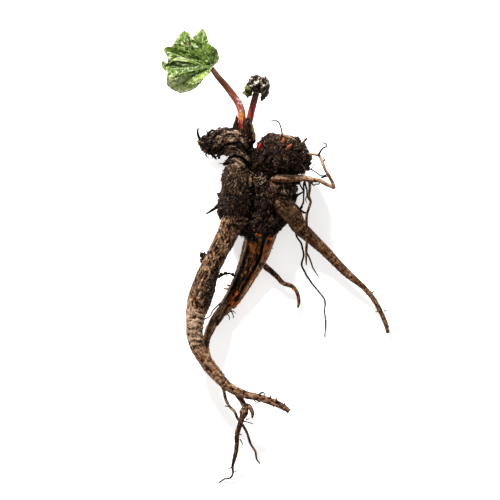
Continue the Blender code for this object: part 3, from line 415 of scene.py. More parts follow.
# How deep short spurs start in their root, and the spurs: foot, direction, length, radius
SPUR_DEPTH = 1.2
SPURS = [
    ((-74.8, 3, 35), (-0.5, 0.8, 0.2), 2, 0.9), ((-71.6, 3.5, 34), (0.2, 1, 0.4), 1.6, 0.9),
    ((-64.5, -17, 38), (-0.9, 0.4, 0.3), 2.5, 0.8), ((-45.3, -29.5, 12), (-1, 0.25, 0.2), 4, 1.0),
    ((-48.3, -32.6, 11), (-1, 0.1, 0.3), 4.5, 0.9), ((-49.5, -19.5, 16), (-0.5, 1, 0.5), 4, 0.5),
    ((-6, -141.8, 33), (0.3, 1, 0.4), 3, 0.9), ((0, -144, 33), (0.2, 1, 0.5), 3, 0.9),
    ((-2.5, -149, 29), (-0.1, -1, 0.1), 2.2, 0.8), ((8.5, -148, 32), (0.2, 1, 0.4), 2.2, 0.8),
    ((97, -36, 13), (0.7, 0.6, 0.3), 3, 0.7), ((109.5, -54.5, 12), (0.9, 0.5, 0.2), 3, 0.6),
    ((102, -55, 10), (-0.8, -0.3, 0.2), 2.2, 0.6), ((112.3, -71, 11), (0.8, 0.5, 0.1), 2.4, 0.4),
    ((62, -11.5, 12), (-0.6, -0.7, 0.1), 2, 0.8), ((-29, -163, 26), (1, 0.1, 0.2), 3, 0.8),
    ((-37, -178, 21), (0.8, -0.3, 0.2), 3, 0.7), ((-49, -150, 31), (-1, 0.2, 0.2), 2.4, 0.7),
]
# Where bare orange-brown tissue shows: x, y and how far it reaches
ORANGE_SPOTS = [
    (-47, 107, 2.4), (-24.6, 79, 1.6), (-3, 46, 2.4), (-17.5, 26, 4.2), (-20, 22, 3), (8, 114, 2.8),
    (-70, -55, 3), (-24, -18, 4), (-29, -23.5, 3.4), (-40, -39.5, 4.2), (-38, -43, 3.4),
    (-11, 8, 3.5), (4, 46, 2.2), (-7, 20, 3.5), (-5, 19, 3), (-40, -41, 4), (-37, -38, 3),
    (-14, 1, 3.4), (-43, -46, 3), (-16, 27, 4), (-5, 18.5, 4), (-20, 2.5, 5.5), (-22, -14.5, 5),
    (-38, -40, 5), (-9, 30, 3), (-27, 12, 4), (-31, -30, 3.5), (-1, 60, 2.6), (23, -50, 2),
    (18, -33, 2),
]
# Glints on the first stalk's bend
STALK_GLINTS = [(-38.6, 157.3), (-36.6, 156.6), (-37.5, 153.2), (-35, 152.6), (-35.6, 145.5)]

# Each bark: its material's name, then its creases, its body and its ridges. The creases' colour is
# painted shade, and the ridges' is the bark's own pale tone with a painted highlight. The very
# bottom of a crease, in deeper painted shade, gives back 0.4 of the crease's light.
BARKS = {
    "crown": ("crown_bark", (15, 8, 4), (58, 40, 27), (168, 142, 118)),
    "left_root": ("left_root_bark", (24, 14, 8), (104, 76, 54), (188, 158, 128)),
    "middle_root": ("middle_root_bark", (18, 9, 4), (76, 48, 27), (168, 124, 86)),
    "right_root": ("right_root_bark", (28, 16, 8), (94, 64, 42), (158, 120, 86)),
    "tan_roots": ("tan_root_bark", (32, 17, 9), (104, 66, 40), (186, 146, 108)),
    "brown_roots": ("brown_root_bark", (22, 12, 7), (84, 56, 38), (164, 126, 94)),
    "wires": ("wire_bark", (10, 6, 4), (36, 24, 17), (80, 58, 44)),
}
DEEPEST_SHADE_SHARE = 0.4 ** (1 / SCREEN_GAMMA)
# Papery scales and buds: the material's name and its dark, middle and light tones
DRY_SKINS = {
    "scale_dark": ("dark_scale", (7, 4, 2), (24, 14, 9), (80, 54, 36)),
    "scale_ochre": ("ochre_scale", (70, 40, 16), (176, 112, 52), (232, 190, 120)),
    "bud": ("red_bud", (90, 14, 8), (196, 30, 16), (226, 96, 50)),
    "rusty_bud": ("rusty_bud", (20, 10, 6), (96, 42, 20), (176, 92, 50)),
}
# Stalks: the material's name, the colours from foot to leaf, and the colour of the sides, which is
# painted shade there and also tints the dark streaks
STALK_SKINS = {
    "open_stalk": (
        "first_stalk_skin",
        [
            (0.0, (206, 30, 34)), (0.16, (208, 52, 48)), (0.3, (196, 88, 70)),
            (0.46, (170, 84, 64)), (0.6, (120, 64, 38)), (0.76, (76, 50, 22)),
        ],
        (84, 32, 20),
    ),
    "young_stalk": (
        "second_stalk_skin",
        [(0.0, (178, 34, 30)), (0.4, (156, 44, 38)), (0.7, (122, 40, 36)), (0.95, (84, 36, 30))],
        (44, 16, 14),
    ),
}
# Damp soil from its gaps, darker in part as painted shade, to its dry grains, and its specks of
# grit, which are also painted glints
SOIL_STOPS = [(0.2, (8, 4, 2)), (0.5, (34, 21, 13)), (0.85, (92, 68, 50))]
GRIT_AND_GLINT_COLOUR = (206, 188, 164)

rng = np.random.default_rng(29)
SHUFFLE = rng.permutation(256)
SLOPES = rng.normal(size=(256, 3))
SLOPES /= np.linalg.norm(SLOPES, axis=1)[:, None]
SEEDS = rng.random((256, 3))


def lookup(cell):
    """A whole number from 0 to 255 for each cell of space, without order but always the same."""
    x, y, z = (cell[:, k] & 255 for k in range(3))
    return SHUFFLE[(SHUFFLE[(SHUFFLE[x] + y) & 255] + z) & 255]


def wave(points, size, shift=0.0):
    """Smooth noise from about -1 to 1 at many points, with its swells about size apart."""
    spots = np.asarray(points, float) / size + shift
    cell = np.floor(spots).astype(np.int64)
    part = spots - cell
    fade = part ** 3 * (part * (part * 6 - 15) + 10)
    total = np.zeros(len(spots))
    for corner in itertools.product((0, 1), repeat=3):
        weight = np.prod(np.where(corner, fade, 1 - fade), axis=1)
        total += weight * np.einsum("ij,ij->i", SLOPES[lookup(cell + corner)], part - corner)
    return 1.6 * total


def waves(points, size, octaves, shift=0.0):
    """Noise with finer and finer swells on it."""
    return sum(wave(points, size / 2 ** k, shift + 5 * k) / 2 ** k for k in range(octaves))


def swirl(points, size, *shifts):
    """Noise with a value of its own in x, y and z, to bend places with."""
    return np.stack([wave(points, size, shift) for shift in shifts], axis=1)


def ridged(points, size, shift):
    """Noise with sharp ridges at 1 and round hollows down to about -1."""
    return 1 - 2.6 * np.abs(wave(points, size, shift))


def cells(points, size, shift=0.0):
    """How far each point is from its nearest and its second nearest seed."""
    spots = np.asarray(points, float) / size + shift
    base = np.floor(spots).astype(np.int64)
    first, second = np.full(len(spots), 9.0), np.full(len(spots), 9.0)
    for corner in itertools.product((-1, 0, 1), repeat=3):
        cell = base + corner
        reach = np.linalg.norm(cell + SEEDS[lookup(cell)] - spots, axis=1)
        second = np.where(reach < first, first, np.minimum(second, reach))
        first = np.minimum(first, reach)
    return first, second


def ramp_up(values, low, high):
    """0 below low, 1 above high, and smooth between; low may be the larger."""
    share = np.clip((values - low) / (high - low), 0, 1)
    return share * share * (3 - 2 * share)


def bell(values, width):
    """1 where values are 0, falling off to both sides within about a width."""
    return np.exp(-(values / width) ** 2)


def spot(x, y, centre, reach):
    """1 at a centre seen from above, falling off within its reach in x and in y."""
    return np.exp(-((x - centre[0]) / reach[0]) ** 2 - ((y - centre[1]) / reach[1]) ** 2)


def spread(values):
    """The values' ranks, evenly from -1 for the lowest to 1 for the highest."""
    ranks = np.empty(len(values))
    ranks[np.argsort(values, kind="stable")] = np.linspace(-1, 1, len(values))
    return ranks


def unit(vectors):
    return vectors / np.maximum(np.linalg.norm(vectors, axis=-1, keepdims=True), 1e-9)


def walked(points):
    """How far along a line of points each one is."""
    return np.concatenate(([0.0], np.cumsum(np.linalg.norm(np.diff(points, axis=0), axis=1))))


def smooth_route(route, step):
    """Samples (x, y, z, radius) about a step apart on the smooth curve through a route's points."""
    points = np.array(route, float)
    gaps = np.linalg.norm(np.diff(points[:, :3], axis=0), axis=1)
    reach = walked(points[:, :3])
    slopes = np.gradient(points, reach, axis=0)
    distance = np.linspace(0, reach[-1], max(2, round(reach[-1] / step)) + 1)
    k = np.clip(np.searchsorted(reach, distance, side="right") - 1, 0, len(gaps) - 1)
    gap = gaps[k][:, None]
    t = (distance - reach[k])[:, None] / gap
    return (
        (1 + 2 * t) * (1 - t) ** 2 * points[k] + t * (1 - t) ** 2 * gap * slopes[k]
        + t * t * (3 - 2 * t) * points[k + 1] - t * t * (1 - t) * gap * slopes[k + 1]
    )


def carried_frames(centres):
    """A side and an up direction at each centre, carried along the route without twisting."""
    tangents = unit(np.gradient(centres, axis=0))
    up = np.array((0.0, 0.0, 1.0))
    if abs(tangents[0][2]) > 0.9:
        up = np.array((0.0, 1.0, 0.0))
    sides, ups = [], []
    for tangent in tangents:
        up = unit(up - tangent * np.dot(up, tangent))
        sides.append(np.cross(up, tangent))
        ups.append(up)
    return np.array(sides), np.array(ups)


def wound(radius, angle, along):
    """Places on a root unrolled round its axis."""
    return np.stack((radius * np.cos(angle), radius * np.sin(angle), along), axis=1)


def tube(route, sides, step, relief=None):
    """A closed tube along a route. relief(tube) gives each point's height over the plain tube."""
    samples = smooth_route(route, step)
    centres, radii = samples[:, :3], np.maximum(samples[:, 3], THINNEST_RADIUS)
    side, up = (np.repeat(axis, sides, axis=0) for axis in carried_frames(centres))
    made = SimpleNamespace(
        angle=np.tile(np.arange(sides) * math.tau / sides, len(centres)),
        along=np.repeat(walked(centres), sides), radius=np.repeat(radii, sides),
        centre=np.repeat(centres, sides, axis=0),
    )
    made.outward = np.cos(made.angle)[:, None] * side + np.sin(made.angle)[:, None] * up
    made.wrap = wound(made.radius, made.angle, made.along)
    made.points = made.centre + made.radius[:, None] * made.outward
    if relief:
        made.points = made.points + relief(made)[:, None] * made.outward
    ring = np.arange(len(centres) - 1)[:, None] * sides
    here, ahead = ring + np.arange(sides), ring + (np.arange(sides) + 1) % sides
    quads = np.stack((here, ahead, ahead + sides, here + sides), axis=-1).reshape(-1, 4)
    last = (len(centres) - 1) * sides
    made.faces = quads.tolist() + [list(range(sides))[::-1], list(range(last, last + sides))]
    return made


def gathered(shapes, **marks):
    """Several shapes as one, with each mark's lists joined end to end."""
    faces, offset = [], 0
    for shape in shapes:
        faces += [[k + offset for k in face] for face in shape.faces]
        offset += len(shape.points)
    points = np.concatenate([shape.points for shape in shapes])
    joined = {name: np.concatenate(parts) for name, parts in marks.items()}
    return SimpleNamespace(points=points, faces=faces, marks=joined)


def new_mesh(name, shape):
    mesh = bpy.data.meshes.new(name)
    mesh.from_pydata((np.asarray(shape.points) * MM).tolist(), [], shape.faces)
    mesh.update()
    return mesh


def read_vectors(mesh, field):
    vectors = np.empty(len(mesh.vertices) * 3, np.float32)
    mesh.vertices.foreach_get(field, vectors)
    return vectors.reshape(-1, 3).astype(float)


def mesh_points(mesh):
    return read_vectors(mesh, "co") / MM


def place_points(mesh, points):
    mesh.vertices.foreach_set("co", (points * MM).astype(np.float32).ravel())
    mesh.update()


def raise_skin(mesh, heights):
    """Moves each point of a mesh out along its normal."""
    normals = read_vectors(mesh, "normal")
    place_points(mesh, mesh_points(mesh) + normals * np.asarray(heights)[:, None])


def link(name, data):
    """A new object of the scene."""
    thing = bpy.data.objects.new(name, data)
    bpy.context.scene.collection.objects.link(thing)
    return thing


def add_piece(name, mesh, material, slot, replaces=(), **marks):
    """Puts a mesh in the scene, inside the solids' box, with its marks and what it stands for."""
    for mark_name, values in marks.items():
        values = np.asarray(values, np.float32)
        kind, field = ("FLOAT_VECTOR", "vector") if values.ndim == 2 else ("FLOAT", "value")
        mesh.attributes.new(mark_name, kind, "POINT").data.foreach_set(field, values.ravel())
    place_points(mesh, np.clip(mesh_points(mesh), *(np.array(cad_box) / MM)))
    mesh.materials.clear()
    mesh.materials.append(material)
    mesh.shade_smooth()
    piece = link(name, mesh)
    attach(piece, "root")
    if replaces:
        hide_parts(*replaces)


def add_shape(name, shape, *rest, **marks):
    """Puts a shape in the scene as add_piece does with a mesh."""
    add_piece(name, new_mesh(name, shape), *rest, **marks)


def ball(centre, radii, turn=0.0, subdivisions=4):
    """An ellipsoid, turned about +Z."""
    bm = bmesh.new()
    bmesh.ops.create_icosphere(bm, subdivisions=subdivisions, radius=1.0)
    points = np.array([vertex.co for vertex in bm.verts]) * radii
    faces = [[vertex.index for vertex in face.verts] for face in bm.faces]
    bm.free()
    cosine, sine = math.cos(turn), math.sin(turn)
    spin = np.array(((cosine, sine, 0), (-sine, cosine, 0), (0, 0, 1)))
    return SimpleNamespace(points=points @ spin + centre, faces=faces)


def remeshed(mesh, voxel, smoothing):
    """One even skin round a mesh, or round the overlapping shapes in it."""
    body = link(mesh.name, mesh)
    remesh = body.modifiers.new("skin", "REMESH")
    remesh.mode = "VOXEL"
    remesh.voxel_size = voxel * MM
    smooth = body.modifiers.new("smooth", "SMOOTH")
    smooth.factor = 0.5
    smooth.iterations = smoothing
    evaluated = body.evaluated_get(bpy.context.evaluated_depsgraph_get())
    result = bpy.data.meshes.new_from_object(evaluated)
    bpy.data.objects.remove(body)
    return result


def beside(points, route):
    """Where points are beside a route, unrolled round its axis as a tube's own wrap mark is."""
    centres = smooth_route(route, 1.0)[:, :3]
    sides, ups = carried_frames(centres)
    nearest = np.concatenate([
        np.argmin(((part[:, None, :] - centres[None]) ** 2).sum(axis=2), axis=1)
        for part in np.array_split(points, max(1, len(points) // 4000))
    ])
    side, up, away = sides[nearest], ups[nearest], points - centres[nearest]
    across, over, ahead = ((away * axis).sum(axis=1) for axis in (side, up, np.cross(side, up)))
    return np.stack((across, over, walked(centres)[nearest] + ahead), axis=1)


def orange_mark(points):
    """How much bare orange tissue shows at each point."""
    total = np.zeros(len(points))
    for x, y, reach in ORANGE_SPOTS:
        total += np.exp(-((points[:, 0] - x) ** 2 + (points[:, 1] - y) ** 2) / reach ** 2)
    patchy = ramp_up(waves(points / (1, 2.4, 1), 3.6, 2, 4.0), -0.2, 0.35)
    return np.clip(total, 0, 1) * patchy


def stretched(wrap, across, along):
    """Places on a root squeezed so that a noise of size 1 is across wide and along long."""
    return wrap / (across, across, along)


def add_node(tree, kind, inputs=None, **settings):
    """A shader node with its settings, and its inputs set to values or linked to sockets."""
    node = tree.nodes.new(kind)
    for setting, value in settings.items():
        setattr(node, setting, value)
    for key, value in (inputs or {}).items():
        if isinstance(value, bpy.types.NodeSocket):
            tree.links.new(value, node.inputs[key])
        else:
            node.inputs[key].default_value = value
    return node


def colour(red, green, blue):
    """A colour given as it looks on a screen, from 0 to 255, as the shader's linear one."""
    return tuple((part / 255) ** SCREEN_GAMMA for part in (red, green, blue)) + (1.0,)


def ramp(tree, value, stops):
    """Colours over a value: each stop is a place from 0 to 1 and a screen colour."""
    node = add_node(tree, "ShaderNodeValToRGB", {0: value})
    elements = node.color_ramp.elements
    while len(elements) < len(stops):
        elements.new(0.5)
    for element, (place, shade) in zip(elements, stops):
        element.position = place
        element.color = colour(*shade)
    return node.outputs[0]


def mixed(tree, share, first, second, way="MIX"):
    """Two colours mixed, each a socket or a screen colour."""
    first, second = (colour(*part) if isinstance(part, tuple) else part for part in (first, second))
    return add_node(
        tree, "ShaderNodeMix", {0: share, 6: first, 7: second}, data_type="RGBA", blend_type=way,
        clamp_result=True,
    ).outputs[2]


def maths(tree, operation, first, second, third=0.0, clamp=False):
    inputs = {0: first, 1: second, 2: third}
    return add_node(tree, "ShaderNodeMath", inputs, operation=operation, use_clamp=clamp).outputs[0]


def span(tree, value, low, high, new_low=0.0, new_high=1.0):
    inputs = {0: value, 1: low, 2: high, 3: new_low, 4: new_high}
    return add_node(tree, "ShaderNodeMapRange", inputs).outputs[0]


def noise(tree, place, scale, detail, **more):
    inputs = {"Vector": place, "Scale": scale, "Detail": detail, **more}
    return add_node(tree, "ShaderNodeTexNoise", inputs).outputs[0]


def mark(tree, name, output="Fac"):
    return add_node(tree, "ShaderNodeAttribute", attribute_name=name).outputs[output]


def object_place(tree):
    return add_node(tree, "ShaderNodeTexCoord").outputs["Object"]


def place_in_mm(tree):
    inputs = {0: object_place(tree), 1: (1 / MM, 1 / MM, 1 / MM)}
    return add_node(tree, "ShaderNodeVectorMath", inputs, operation="MULTIPLY").outputs[0]


def crest_level(tree, weight, texture, texture_weight):
    """The crest mark brought to 0 to 1, and a texture, each with its weight."""
    crest = span(tree, mark(tree, "crest"), -1.0, 1.0)
    textured = maths(tree, "MULTIPLY", texture, texture_weight)
    return maths(tree, "MULTIPLY_ADD", crest, weight, textured)


def effect(name, given, found):
    """An empty node group: given has each input's usual value, or None for a vector."""
    group = bpy.data.node_groups.new(name, "ShaderNodeTree")
    for socket, value in given.items():
        kind = "NodeSocketVector" if value is None else "NodeSocketFloat"
        made = group.interface.new_socket(socket, in_out="INPUT", socket_type=kind)
        if value is not None:
            made.default_value = value
    for socket in found:
        group.interface.new_socket(socket, in_out="OUTPUT", socket_type="NodeSocketFloat")
    inside, outside = group.nodes.new("NodeGroupInput"), group.nodes.new("NodeGroupOutput")
    return group, inside.outputs, outside.inputs


def place_effect(tree, group, **inputs):
    return add_node(tree, "ShaderNodeGroup", inputs, node_tree=group).outputs


def divided(tree, place, size):
    inputs = {0: place, 1: size}
    return add_node(tree, "ShaderNodeVectorMath", inputs, operation="DIVIDE").outputs[0]


def make_streaks():
    """Fibres that run along a root: narrow light and dark streaks, and their height."""
    usual = {"Place": None, "Width": 1.0, "Length": 8.0}
    group, given, out = effect("bark_streaks", usual, ("Streak", "Height"))
    sizes = {0: given["Width"], 1: given["Width"], 2: given["Length"]}
    squeeze = add_node(group, "ShaderNodeCombineXYZ", sizes).outputs[0]
    place = divided(group, given["Place"], squeeze)
    broad = noise(group, place, 1.0, 4.0, Roughness=0.62, Distortion=0.3)
    group.links.new(span(group, broad, 0.36, 0.64), out["Streak"])
    group.links.new(broad, out["Height"])
    return group


def make_grains():
    """Soil and fine scurf: grains with dark gaps, few specks of grit and painted glint, height."""
    usual = {"Place": None, "Size": 1.0}
    group, given, out = effect("soil_grains", usual, ("Grain", "Speck", "Height"))
    place = divided(group, given["Place"], given["Size"])
    inputs = {"Vector": place, "Scale": 1.0, "Randomness": 1.0}
    cell = add_node(group, "ShaderNodeTexVoronoi", inputs).outputs["Distance"]
    round_part = maths(group, "MULTIPLY", maths(group, "SUBTRACT", 1.0, cell), 0.55)
    fine = noise(group, place, 1.7, 5.0, Roughness=0.65)
    height = maths(group, "ADD", round_part, maths(group, "MULTIPLY", fine, 0.6))
    group.links.new(span(group, height, 0.35, 0.95), out["Grain"])
    group.links.new(span(group, noise(group, place, 0.83, 2.0), 0.64, 0.7), out["Speck"])
    group.links.new(height, out["Height"])
    return group


def new_material(name, specular, coat=0.0, coat_roughness=0.3):
    material = bpy.data.materials.new(name)
    material.use_nodes = True
    tree = material.node_tree
    shader = tree.nodes["Principled BSDF"]
    shader.inputs["Specular IOR Level"].default_value = specular
    shader.inputs["Coat Weight"].default_value = coat
    shader.inputs["Coat Roughness"].default_value = coat_roughness
    return material, tree, shader


def finish_material(tree, shader, base, roughness, height, strength, distance):
    """Links a colour, a roughness and a bump in millimetres to the shader."""
    tree.links.new(base, shader.inputs["Base Color"])
    if isinstance(roughness, bpy.types.NodeSocket):
        tree.links.new(roughness, shader.inputs["Roughness"])
    else:
        shader.inputs["Roughness"].default_value = roughness
    inputs = {"Height": height, "Strength": strength, "Distance": distance * MM}
    tree.links.new(add_node(tree, "ShaderNodeBump", inputs).outputs[0], shader.inputs["Normal"])


def soil_colour(tree, level, grain, grit):
    """Damp soil from its gaps to its dry grains, with specks of grit and painted glints."""
    speck = maths(tree, "MULTIPLY", grain["Speck"], grit)
    return mixed(tree, speck, ramp(tree, level, SOIL_STOPS), GRIT_AND_GLINT_COLOUR)


def bark_material(name, crease, body, ridge, streaks, grains):
    """Root bark: painted shade in creases, highlight on ridges, soil, pale and orange bark by mark.
    """
    material, tree, shader = new_material(name, specular=0.08)
    place = mark(tree, "wrap", "Vector")
    streak = place_effect(tree, streaks, Place=place, Width=0.9, Length=6.0)
    grain = place_effect(tree, grains, Place=place, Size=1.3)
    broad = noise(tree, place, 0.11, 3.0)
    level = maths(tree, "MULTIPLY", span(tree, mark(tree, "crest"), -1.0, 1.0), 0.8)
    for part, weight in ((streak["Streak"], 0.45), (grain["Grain"], 0.18), (broad, 0.3)):
        level = maths(tree, "MULTIPLY_ADD", maths(tree, "SUBTRACT", part, 0.5), weight, level)
    level = maths(tree, "ADD", level, 0.1)
    # Crease colours are painted shade, deepest at a crease's bottom; ridges carry a painted
    # highlight
    deep = tuple(DEEPEST_SHADE_SHARE * part for part in crease)
    base = ramp(tree, level, [
        (0.14, deep), (0.34, crease), (0.52, body), (0.68, body), (0.9, ridge),
    ])
    warm = span(tree, noise(tree, place, 0.3, 2.0), 0.45, 0.65, 0.0, 0.35)
    base = mixed(tree, warm, base, (255, 206, 160), "MULTIPLY")
    pale_level = span(tree, level, 0.35, 0.85)
    pale = maths(tree, "MULTIPLY", mark(tree, "pale"), pale_level, clamp=True)
    base = mixed(tree, pale, base, (186, 156, 130))
    orange_level = span(tree, level, 0.13, 0.56)
    orange = maths(tree, "MULTIPLY", mark(tree, "orange"), orange_level, clamp=True)
    base = mixed(tree, orange, base, (208, 106, 36))
    soil_level = maths(tree, "MULTIPLY", level, 0.8)
    soil_level = maths(tree, "MULTIPLY_ADD", grain["Grain"], 0.3, soil_level)
    soil = soil_colour(tree, soil_level, grain, 0.45)
    # Soil colour also fills the creases, in part as painted shade
    crease_soil_and_shade = maths(tree, "MULTIPLY", maths(tree, "SUBTRACT", 0.35, level), 0.7)
    cover = maths(tree, "ADD", mark(tree, "soil"), crease_soil_and_shade)
    cover = maths(tree, "MULTIPLY_ADD", orange, -0.8, cover)
    base = mixed(tree, span(tree, cover, 0.25, 0.7), base, soil)
    streak_height = maths(tree, "MULTIPLY", streak["Height"], 0.7)
    height = maths(tree, "ADD", streak_height, maths(tree, "MULTIPLY", grain["Height"], 0.6))
    roughness = span(tree, grain["Grain"], 0.0, 1.0, 0.42, 0.8)
    finish_material(tree, shader, base, roughness, height, 1.0, 1.2)
    return material


def soil_material(grains):
    """Damp soil, with rusty places by its mark."""
    material, tree, shader = new_material("damp_soil", specular=0.08)
    grain = place_effect(tree, grains, Place=place_in_mm(tree), Size=1.0)
    base = soil_colour(tree, crest_level(tree, 0.5, grain["Grain"], 0.5), grain, 0.8)
    base = mixed(tree, mark(tree, "orange"), base, (186, 84, 44))
    roughness = span(tree, grain["Grain"], 0.0, 1.0, 0.5, 0.9)
    finish_material(tree, shader, base, roughness, grain["Height"], 1.0, 0.9)
    return material


def fibre_material():
    """Dried rootlets: each its own tone between near black and straw."""
    material, tree, shader = new_material("rootlet_fibre", specular=0.1)
    base = ramp(tree, mark(tree, "tone"), [
        (0.0, (10, 6, 4)), (0.5, (44, 28, 18)), (0.8, (100, 72, 52)), (1.0, (176, 152, 128)),
    ])
    mottle = noise(tree, object_place(tree), 900.0, 3.0)
    base = mixed(tree, span(tree, mottle, 0.4, 0.7, 0.0, 0.5), base, (24, 17, 13))
    finish_material(tree, shader, base, 0.6, mottle, 0.5, 0.2)
    return material


def stalk_material(name, stops, edge, streaks):
    """A leaf stalk: colour along its length, painted shade on its sides, with ribs and moist gloss.
    """
    material, tree, shader = new_material(name, specular=0.15, coat=0.15, coat_roughness=0.1)
    place = mark(tree, "wrap", "Vector")
    streak = place_effect(tree, streaks, Place=place, Width=0.55, Length=16.0)
    blotch = maths(tree, "SUBTRACT", noise(tree, place, 0.35, 3.0), 0.5)
    along = maths(tree, "MULTIPLY_ADD", blotch, 0.16, mark(tree, "share"))
    base = ramp(tree, along, stops)
    # The pale streaks on the lower stalk are a painted highlight
    lower_share = span(tree, along, 0.3, 0.7, 0.7, 0.15)
    light = maths(tree, "MULTIPLY", span(tree, streak["Streak"], 0.5, 0.9), lower_share)
    base = mixed(tree, light, base, (240, 172, 148))
    base = mixed(tree, span(tree, streak["Streak"], 0.5, 0.1, 0.0, 0.9), base, edge)
    base = mixed(tree, mark(tree, "shade"), base, edge)
    base = mixed(tree, mark(tree, "yellow"), base, (238, 196, 60))
    base = mixed(tree, mark(tree, "glint"), base, (250, 240, 236))
    finish_material(tree, shader, base, 0.36, streak["Height"], 0.9, 0.8)
    return material


def leaf_material():
    """The open leaf: green, painted shade and highlight, paler veins, olive margins, waxy gloss."""
    material, tree, shader = new_material("open_leaf", specular=0.15, coat_roughness=0.2)
    place = place_in_mm(tree)
    mottle = noise(tree, place, 0.28, 6.0, Roughness=0.7)
    fine = noise(tree, place, 0.9, 4.0, Roughness=0.6)
    level = crest_level(tree, 0.55, mottle, 0.5)
    # Dark in the hollows and whitish on the crests: painted shade and painted highlight
    base = ramp(tree, level, [
        (0.22, (14, 26, 2)), (0.42, (46, 68, 12)), (0.6, (80, 102, 32)), (0.78, (128, 140, 86)),
        (0.97, (220, 224, 204)),
    ])
    base = mixed(tree, maths(tree, "MULTIPLY", mark(tree, "vein"), 0.6), base, (150, 170, 98))
    olive = ramp(tree, level, [
        (0.2, (48, 68, 10)), (0.42, (100, 124, 34)), (0.62, (146, 164, 74)),
        (0.82, (216, 224, 180)),
    ])
    base = mixed(tree, mark(tree, "olive"), base, olive)
    base = mixed(tree, mark(tree, "rust"), base, (92, 76, 44))
    wax = span(tree, mark(tree, "olive"), 0.4, 0.9, 0.35, 0.03)
    tree.links.new(wax, shader.inputs["Coat Weight"])
    finish_material(tree, shader, base, 0.45, fine, 0.9, 0.9)
    return material


def young_leaf_material():
    """The second leaf: dark with brown, purple and green, its glossy crumples painted with
    highlight.
    """
    material, tree, shader = new_material(
        "young_leaf", specular=0.15, coat=0.25, coat_roughness=0.12)
    mottle = noise(tree, place_in_mm(tree), 0.35, 5.0)
    level = crest_level(tree, 0.6, mottle, 0.4)
    base = ramp(tree, level, [
        (0.28, (20, 13, 8)), (0.52, (58, 43, 27)), (0.72, (98, 82, 56)), (0.88, (206, 198, 178)),
    ])
    tint = mixed(tree, span(tree, mottle, 0.42, 0.6), (72, 74, 28), (62, 32, 32))
    base = mixed(tree, span(tree, level, 0.4, 0.62, 0.0, 0.45), base, tint)
    # The rim mark is a painted highlight along the leaf's upper rim
    rim_highlight_level = span(tree, level, 0.55, 0.8, 0.0, 0.9)
    painted_rim_highlight = maths(tree, "MULTIPLY", mark(tree, "rim"), rim_highlight_level, clamp=True)
    base = mixed(tree, painted_rim_highlight, base, (214, 206, 194))
    olive = ramp(tree, level, [(0.2, (30, 34, 10)), (0.55, (98, 106, 34)), (0.9, (186, 188, 92))])
    base = mixed(tree, mark(tree, "olive"), base, olive)
    finish_material(tree, shader, base, 0.4, mottle, 0.8, 0.8)
    return material


def dry_material(name, dark, mid, light, streaks):
    """Papery scales and small buds: streaks along the piece between three tones."""
    material, tree, shader = new_material(name, specular=0.12)
    place = mark(tree, "wrap", "Vector")
    streak = place_effect(tree, streaks, Place=place, Width=0.6, Length=5.0)
    level = crest_level(tree, 0.5, streak["Streak"], 0.5)
    base = ramp(tree, level, [(0.1, dark), (0.5, mid), (0.95, light)])
    finish_material(tree, shader, base, 0.5, streak["Height"], 0.7, 0.4)
    return material


def paper_material():
    """The pale surface that the plant lies on, with a little light of its own."""
    material, tree, shader = new_material("pale_surface", specular=0.1)
    mottle = noise(tree, object_place(tree), 3.0, 2.0)
    base = mixed(tree, mottle, (248, 248, 249), (252, 252, 252))
    tree.links.new(base, shader.inputs["Base Color"])
    shader.inputs["Roughness"].default_value = 0.9
    shader.inputs["Emission Color"].default_value = (1.0, 1.0, 1.0, 1.0)
    shader.inputs["Emission Strength"].default_value = FLOOR_GLOW
    return material


def make_materials():
    """Every material of the plant, by the name that its pieces ask for."""
    streaks, grains = make_streaks(), make_grains()
    made = {}
    for key, (name, *tones) in BARKS.items():
        made[key] = bark_material(name, *tones, streaks, grains)
    for key, (name, *tones) in DRY_SKINS.items():
        made[key] = dry_material(name, *tones, streaks)
    for key, (name, stops, edge) in STALK_SKINS.items():
        made[key] = stalk_material(name, stops, edge, streaks)
    made.update(
        soil=soil_material(grains), fibre=fibre_material(), leaf=leaf_material(),
        young_leaf=young_leaf_material(),
    )
    return SimpleNamespace(**made)


def soil_height(points):
    """Relief of caked soil: lumps, crumbs and grains."""
    bent = points + 0.9 * wave(points, 3.0, 2.0)[:, None]
    clump, beside_it = cells(bent, 4.2)
    crumb, grain = cells(bent, 2.1, 6.0)[0], cells(points, 1.15, 3.0)[0]
    lumps = waves(points, 8.0, 2, 7.0) + 1.1 * (0.6 - clump) - 0.8 * bell(beside_it - clump, 0.12)
    return lumps + 0.9 * (0.55 - crumb) + 0.4 * (0.5 - grain) + 0.3 * wave(points, 0.9)


def crown_zones(points):
    """How far each point of the crown is on the side knob, on the neck and on the oval base."""
    x, y = points[:, 0], points[:, 1]
    ragged = 1.5 * wave(points, 5.0, 2.0)
    knob = ramp_up(-x + ragged, 44, 49) * ramp_up(y, 92, 97)
    right_of_neck = ramp_up(-x - 0.55 * (y - 101.5) + ragged, 22.5, 25.5)
    neck = (1 - knob) * ramp_up(y + ragged, 86, 92) * right_of_neck
    centre, radii, _ = OVAL_BASE
    out = np.hypot((x - centre[0]) / radii[0], (y - centre[1]) / radii[1]) + 0.03 * ragged
    oval = (1 - knob) * (1 - neck) * ramp_up(out, 1.1, 1.0)
    return knob, neck, oval


